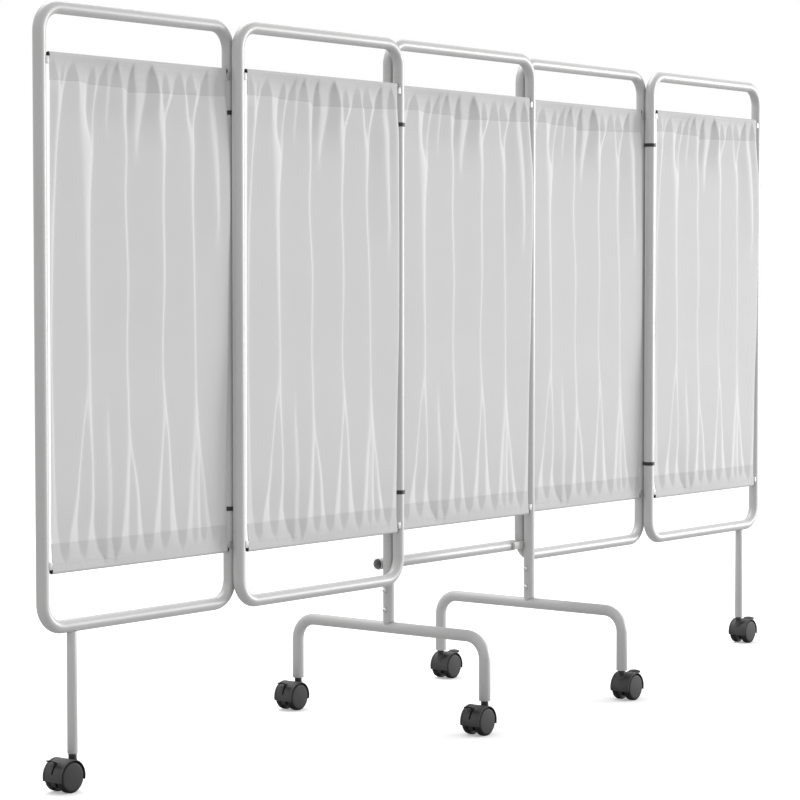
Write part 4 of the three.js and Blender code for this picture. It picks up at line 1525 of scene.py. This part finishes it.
@dataclass
class CollarMaker:
    """Moulds the hinge collars: a band round one upright, seated on the upright beside it."""

    sizes: Sizes
    height: float = 9.5
    band: float = 1.4
    edge: float = 0.5
    seat: float = 5.5
    bite: float = 0.2
    sides: int = 48
    levels: tuple[tuple[str, float], ...] = (("top", 1445.0), ("bottom", 560.0))

    def build(self, stand: Stand) -> None:
        """Makes the eight collars.

        Args:
            stand: Where pieces go.
        """
        s = self.sizes
        joints = (("hinge_1_2", -s.joint, 0.0, -1.0, "panel_2"), ("hinge_2_3", -s.post, -s.stack, 1.0, "base"),
                  ("hinge_3_4", s.post, s.stack, -1.0, "base"), ("hinge_4_5", s.joint, 0.0, 1.0, "panel_4"))
        for name, x, y, partner, body in joints:
            for level, z in self.levels:
                node = f"{name}_{level}_collar"
                stand.piece(f"{node}_band", self.mesh(x, y, z, partner), Slot.BLACK, body, [node])

    def mesh(self, x: float, y: float, z: float, partner: float) -> bpy.types.Mesh:
        """Makes one collar.

        Args:
            x: The ringed upright's axis.
            y: Its depth.
            z: The collar's middle height.
            partner: +1 where the other upright stands behind.

        Returns:
            The mesh, in metres.
        """
        s = self.sizes
        inner, outer = s.tube + s.gap, s.tube + s.gap + self.band
        half, edge = self.height / 2, self.edge
        maker = MeshMaker()
        loop = [(inner, -half + edge), (inner + edge, -half), (outer - edge, -half), (outer, -half + edge),
                (outer, half - edge), (outer - edge, half), (inner + edge, half), (inner, half - edge)]
        maker.skin([maker.ring(Vector((x + r * u, y + r * v, z + h)) for r, h in loop)
                    for u, v in circle(self.sides)], closed=True)
        spread = math.asin(self.seat / inner)
        angles = np.linspace(-spread, spread, 6)
        reach = inner + self.bite
        near = [(reach * math.sin(a), partner * reach * math.cos(a)) for a in angles]
        far = [(inner * math.sin(a), partner * (s.stack - inner * math.cos(a))) for a in -angles]
        maker.prism([(u + x, v + y) for u, v in near + far], z - half, z + half, Matrix())
        return maker.mesh("collar")


@dataclass
class CastorMaker:
    """Moulds a twin-wheel castor: stem, hood, wheels and brake lever.

    Profiles are pairs of radius and height, or of radius and place across. Angles about the axle are in degrees.
    """

    sizes: Sizes
    wheel: float = 34.0
    trail: float = 25.0
    outer: float = 27.0
    inner: float = 10.5
    hood_inner: float = 34.8
    hood_outer: float = 36.4
    hood_half: float = 27.8
    hood_end: float = 14.0
    hood_rings: int = 49
    lip: float = 6.0
    neck: float = 9.0
    neck_room: float = 1.3
    boss: float = 10.0
    boss_top: float = 66.0
    boss_seat: float = 4.0
    pin: float = 5.0
    pin_foot: float = 42.0
    pin_room: float = 0.3
    plug: float = 6.2
    plug_length: float = 12.0
    web: float = 7.0
    web_inset: float = 1.0
    web_drop: float = 20.0
    slot_half: float = 2.5
    slot_angles: tuple[float, float] = (120.0, 168.0)
    slot_depths: tuple[float, float] = (3.0, -12.0)
    tread: float = 31.0
    disc: Profile = ((0, 0.6), (26.5, 0.6), (28.6, 0.3), (30, -0.5), (30.9, -1.8), (31.1, -3.2), (31.7, -3.2),
                     (32.3, -1.8), (33.2, -2.4), (34, -4.2))
    hub: Profile = ((34, 3), (33.2, 1), (31.5, 0), (27, 0), (26, 2), (10, 2), (9, 0), (4, 0))
    lever_pivot: tuple[float, float] = (30.0, 132.0)
    lever_root: tuple[float, float] = (42.0, 136.0)
    lever_lift: float = 5.0
    lever_pin: float = 1.5
    lever_pin_inset: float = 0.5
    arm_half: float = 2.2
    pedal_half: float = 17.0
    pedal_curve: Profile = ((4.5, -1.4), (1, -0.2), (-2, 0.6), (-5, 1.2), (-7.5, 2.0), (-9.5, 3.0))
    pedal_thick: float = 2.0
    pedal_thinning: float = 0.12
    pedal_tuck: float = 3.2
    pedal_droop: float = 2.6

    def axle(self) -> Matrix:
        """The axle's frame: X and Y in the castor's side view, Z across it."""
        return Matrix(((1, 0, 0, -self.trail), (0, 0, -1, 0), (0, 1, 0, self.wheel), (0, 0, 0, 1)))

    def polar(self, radius: float, degrees: float) -> tuple[float, float]:
        """A place in the castor's side view, by its distance and angle from the axle."""
        return radius * math.cos(math.radians(degrees)), radius * math.sin(math.radians(degrees))

    def arc(self, radius: float, start: float, end: float, steps: int) -> list[tuple[float, float]]:
        """Places on a circle about the axle.

        Args:
            radius: The circle's radius.
            start: The first angle.
            end: The last angle.
            steps: Pieces between them.

        Returns:
            The places, in the castor's side view.
        """
        return [self.polar(radius, a) for a in np.linspace(start, end, steps + 1)]

    def stem(self) -> bpy.types.Mesh:
        """Turns the stem: the pin in the hood, the neck with its groove, and the plug in the tube.

        Returns:
            The mesh, in metres.
        """
        s = self.sizes
        top, low = s.tube_end - s.gap, self.boss_top + s.gap
        foot, pin, neck, plug = self.pin_foot, self.pin, self.neck, self.plug
        maker = MeshMaker()
        maker.lathe([(0, foot), (pin - 0.6, foot), (pin, foot + 0.6), (pin, low), (neck - 0.8, low),
                     (neck, low + 0.8), (neck, low + 4.2), (neck - 0.5, low + 4.6), (neck - 0.5, low + 5.4),
                     (neck, low + 5.8), (neck, top - 1), (neck - 0.6, top - 0.2), (plug, top),
                     (plug, top + self.plug_length), (0, top + self.plug_length)], Matrix(), 32)
        return maker.mesh("castor_stem")

    def hood(self) -> bpy.types.Mesh:
        """Moulds the hood: a shell over both wheels with raised side lips, a web between them and the boss.

        Returns:
            The mesh, in metres.
        """
        half, lip, out = self.hood_half, self.hood_half - self.lip, self.hood_outer
        side = [(self.hood_inner, half), (out - 0.9, half), (out + 0.3, half - 1.1), (out + 0.3, lip + 0.6),
                (out - 0.8, lip), (out, lip - 0.6)]
        section = [(r, -across) for r, across in side] + [(out + 0.25, 0)] + side[::-1]
        axle = self.axle()
        maker = MeshMaker()
        rings = []
        for angle in np.linspace(-self.hood_end, 180 + self.hood_end, self.hood_rings):
            u, v = self.polar(1.0, float(angle))
            rings.append(maker.ring(axle @ Vector((r * u, r * v, across)) for r, across in section))
        maker.skin(rings)
        drop = math.degrees(math.asin(self.web_drop / out))
        maker.prism(self.arc(out - self.web_inset, -drop, 180 + drop, 40), -self.web, self.web, axle)
        top, seat, bore = self.boss_top, self.boss_top - self.boss_seat, self.pin + self.pin_room
        maker.lathe([(0, 44), (self.boss, 44), (self.boss, top - 0.8), (self.boss - 0.8, top), (bore, top),
                     (bore, seat), (0, seat)], Matrix(), 32)
        return self.carve(maker)

    def carve(self, maker: MeshMaker) -> bpy.types.Mesh:
        """Cuts the lever's slot and the neck's hollow out of the hood, and marks the web's rim, where it meets the
        hood's inside, for painted shade.

        Args:
            maker: The whole hood.

        Returns:
            The cut mesh, in metres.
        """
        start, stop = self.slot_angles
        above, below = (self.hood_outer + depth for depth in self.slot_depths)
        room = self.neck + self.neck_room
        cutter = MeshMaker()
        cutter.prism(self.arc(above, start, stop, 8) + self.arc(below, stop, start, 8), -self.slot_half,
                     self.slot_half, self.axle())
        cutter.lathe([(0, self.boss_top), (room, self.boss_top), (room, 80), (0, 80)], Matrix(), 32)
        scene = bpy.context.scene.collection.objects
        hood = bpy.data.objects.new("hood_blank", maker.mesh("hood_blank"))
        tool = bpy.data.objects.new("hood_cutter", cutter.mesh("hood_cutter"))
        for blank in (hood, tool):
            scene.link(blank)
        cut = hood.modifiers.new("cut", "BOOLEAN")
        cut.object = tool
        cut.operation = "DIFFERENCE"
        cut.solver = "EXACT"
        cut.use_self = True
        mesh = bpy.data.meshes.new_from_object(hood.evaluated_get(bpy.context.evaluated_depsgraph_get()))
        for blank in (hood, tool):
            bpy.data.objects.remove(blank)
        mesh.polygons.foreach_set("use_smooth", [True] * len(mesh.polygons))
        mesh.set_sharp_from_angle(angle=math.radians(35))
        # Painted shade: the web's rim, in the corner where it meets the hood's inside, is marked to be drawn
        # darker.
        edge = self.hood_outer - self.web_inset
        distances = [math.hypot(v.co.x / MM + self.trail, v.co.z / MM - self.wheel) for v in mesh.vertices]
        self.mark(mesh, [abs(distance - edge) < 0.15 and v.co.z < 0.9 * self.wheel * MM
                         for distance, v in zip(distances, mesh.vertices)])
        return mesh

    def mark(self, mesh: bpy.types.Mesh, marked_dark: Sequence[bool]) -> None:
        """Stores at a mesh's points which of them are drawn darker, with painted shade."""
        values = [float(dark) for dark in marked_dark]
        mesh.attributes.new("recess", "FLOAT", "POINT").data.foreach_set("value", values)

    def wheels(self) -> bpy.types.Mesh:
        """Turns the two wheels on their axle: black tread, shoulder, groove and bevelled disc cap.

        Returns:
            The mesh, in metres.
        """
        face = [*((r, self.outer + across) for r, across in self.disc),
                *((r, self.inner + across) for r, across in self.hub)]
        maker = MeshMaker()
        maker.lathe([(r, -across) for r, across in face] + face[::-1], self.axle(), 64)
        mesh = maker.mesh("castor_wheels", smooth_angle=30)
        # The tread is marked darker: partly its own black, partly painted shade of the gap between the hood and
        # the disc.
        self.mark(mesh, [math.hypot(corner.x + self.trail, corner.z - self.wheel) > self.tread
                         for corner in maker.corners])
        return mesh

    def lever(self) -> bpy.types.Mesh:
        """Moulds the brake lever: a pin in the web, an arm up through the slot and a curved pedal.

        Returns:
            The mesh, in metres.
        """
        axle = self.axle()
        pivot, (root_u, root_v) = self.polar(*self.lever_pivot), self.polar(*self.lever_root)
        root = (root_u, root_v + self.lever_lift)
        pin, ends = self.lever_pin, self.web - self.lever_pin_inset
        maker = MeshMaker()
        maker.lathe([(0, -ends), (pin, -ends), (pin, ends), (0, ends)], axle @ Matrix.Translation((*pivot, 0)), 16)
        arm = [(pivot[0] - 2, pivot[1] - 2), (pivot[0] + 3.5, pivot[1] - 1), (root[0] + 4, root[1] + 1.2),
               (root[0] - 2.5, root[1] + 1.2)]
        maker.prism(arm, -self.arm_half, self.arm_half, axle)
        under = [(root[0] + u, root[1] + v) for u, v in self.pedal_curve]
        upper = [(u, v + self.pedal_thick - self.pedal_thinning * i) for i, (u, v) in enumerate(under)]
        rings = []
        for across in np.linspace(-self.pedal_half, self.pedal_half, 13):
            share = abs(across) / self.pedal_half
            tuck, droop = self.pedal_tuck * share ** 4, self.pedal_droop * share ** 2
            low, high = ([(u + tuck * max(0.0, i - 2) / 3, v - droop) for i, (u, v) in enumerate(edge)]
                         for edge in (under, upper))
            rings.append(maker.ring(axle @ Vector((u, v, across)) for u, v in low + high[::-1]))
        maker.skin(rings)
        return maker.mesh("castor_lever", 0.4)

    def build(self, stand: Stand) -> None:
        """Makes the six castors.

        Args:
            stand: Where pieces go.
        """
        s = self.sizes
        leg = s.joint + s.pitch - s.leg_inset
        foot = s.foot_span / 2
        places = ((1, -leg, 0.0, 0.0, "panel_1"), (2, -s.post, -foot, 0.0, "base"),
                  (3, -s.post, foot, 0.0, "base"), (4, s.post, -foot, math.pi, "base"),
                  (5, s.post, foot, math.pi, "base"), (6, leg, 0.0, math.pi, "panel_5"))
        kinds: tuple[tuple[str, Callable[[], bpy.types.Mesh], Slot, str], ...] = (
            ("stem", self.stem, Slot.BLACK, ""), ("hood", self.hood, Slot.HOOD, "swivel"),
            ("wheels", self.wheels, Slot.WHEEL, "wheels"), ("brake_lever", self.lever, Slot.BLACK, "lever"))
        for kind, make, slot, body in kinds:
            first = make()
            for number, x, y, heading, carrier in places:
                mesh = first.copy()
                mesh.transform(Matrix.Translation((x * MM, y * MM, 0)) @ Matrix.Rotation(heading, 4, "Z"))
                node = f"castor_{number}_{kind}"
                stand.piece(f"{node}_form", mesh, slot, f"castor_{number}_{body}" if body else carrier, [node])


@dataclass
class Studio:
    """The plain floor, lamps, world and camera."""

    focal_mm: float = 114.576
    sensor_mm: float = 36.0
    place: tuple[float, float, float] = (-5.1368, -3.8156, 1.0762)
    pitch_down: float = 2.736
    heading: float = 52.005
    world_light: float = 0.8
    floor_half: float = 40000.0
    floor_glow: float = 0.27
    softboxes: tuple[tuple[str, tuple[float, ...], tuple[float, ...], tuple[float, float], float], ...] = (
        ("right_softbox", (10.9, -6.6, 1.9), (0, 0, 0.9), (5.0, 3.6), 1040),
        ("top_softbox", (0.3, 1.8, 5.2), (0, 0, 0), (4, 2), 150))

    def camera(self) -> None:
        """Sets the camera at the photograph's place."""
        data = bpy.data.cameras.new("photo_camera")
        data.lens = self.focal_mm
        data.sensor_width = self.sensor_mm
        data.clip_end = 200
        camera = bpy.data.objects.new("photo_camera", data)
        camera.location = self.place
        camera.rotation_euler = (math.radians(90 - self.pitch_down), 0, -math.radians(self.heading))
        bpy.context.scene.collection.objects.link(camera)
        bpy.context.scene.camera = camera

    def world(self) -> None:
        """Sets an even world that looks white to the camera and in gloss."""
        world = bpy.data.worlds.new("studio_world")
        bpy.context.scene.world = world
        sheet = NodeSheet(world)
        seen = sheet.ray("Is Camera Ray").larger(sheet.ray("Is Glossy Ray"))
        seen = seen.larger(sheet.ray("Is Transmission Ray"))
        strength = seen * (1 - self.world_light) + self.world_light
        light = sheet.node("ShaderNodeBackground", {}, {"Color": (1, 1, 1, 1), "Strength": strength})
        sheet.node("ShaderNodeOutputWorld", {}, {0: light})

    def floor(self) -> None:
        """Lays the pale floor, which keeps the object's soft shadow."""
        maker = MeshMaker()
        half = self.floor_half
        corners = ((-half, -half, 0), (half, -half, 0), (half, half, 0), (-half, half, 0))
        maker.faces.append(tuple(maker.ring(Vector(corner) for corner in corners)))
        floor = bpy.data.objects.new("studio_floor", maker.mesh("studio_floor"))
        bpy.context.scene.collection.objects.link(floor)
        material = bpy.data.materials.new("pale_floor")
        sheet = NodeSheet(material)
        seen = sheet.ray("Is Camera Ray")
        diffuse = sheet.node("ShaderNodeBsdfDiffuse", {}, {"Color": sheet.mix(seen, grey(0.5), grey(0.95))})
        glow = sheet.node("ShaderNodeEmission", {}, {"Color": (1, 1, 1, 1), "Strength": seen * self.floor_glow})
        both = sheet.node("ShaderNodeAddShader", {}, {0: diffuse, 1: glow})
        sheet.node("ShaderNodeOutputMaterial", {}, {0: both})
        floor.data.materials.append(material)

    def lamp(self, name: str, place: Sequence[float], aim: Sequence[float], size: tuple[float, float],
             power: float) -> None:
        """Adds one area lamp.

        Args:
            name: Its name.
            place: Where it stands, in metres.
            aim: Where it points.
            size: Its width and height.
            power: In watts.
        """
        data = bpy.data.lights.new(name, "AREA")
        data.shape = "RECTANGLE"
        data.size, data.size_y = size
        data.energy = power
        lamp = bpy.data.objects.new(name, data)
        lamp.location = place
        lamp.rotation_euler = (Vector(aim) - Vector(place)).to_track_quat("-Z", "Y").to_euler()
        bpy.context.scene.collection.objects.link(lamp)

    def build(self) -> None:
        """Sets the whole studio."""
        bpy.context.scene.view_settings.view_transform = "Standard"
        self.camera()
        self.world()
        self.floor()
        for softbox in self.softboxes:
            self.lamp(*softbox)


def main() -> None:
    """Builds the screen, piece by piece, and the studio round it."""
    logging.basicConfig(level=logging.INFO, format="%(message)s")
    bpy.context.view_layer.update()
    sizes = Sizes()
    stand = Stand(Finishes())
    Studio().build()
    panels = (
        Panel(1, -sizes.joint - sizes.pitch, 0.0, sizes.pitch, "panel_1", Stance.LEFT_LEG),
        Panel(2, -sizes.joint, -sizes.stack, sizes.pitch, "panel_2", Stance.NEIGHBOURS, room=9.5),
        Panel(3, -sizes.post, 0.0, sizes.base_pitch, "base", Stance.POSTS),
        Panel(4, sizes.post, sizes.stack, sizes.pitch, "panel_4", Stance.NEIGHBOURS, room=9.5),
        Panel(5, sizes.joint, 0.0, sizes.pitch, "panel_5", Stance.RIGHT_LEG),
    )
    frames, rods, curtains = FrameMaker(sizes), RodMaker(sizes), CurtainMaker(sizes)
    for panel in panels:
        frames.build(stand, panel)
        curtains.build(stand, panel, rods.build(stand, panel))
    FootMaker(sizes).build(stand)
    CollarMaker(sizes).build(stand)
    CastorMaker(sizes).build(stand)
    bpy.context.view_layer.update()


if __name__ == "__main__":
    main()
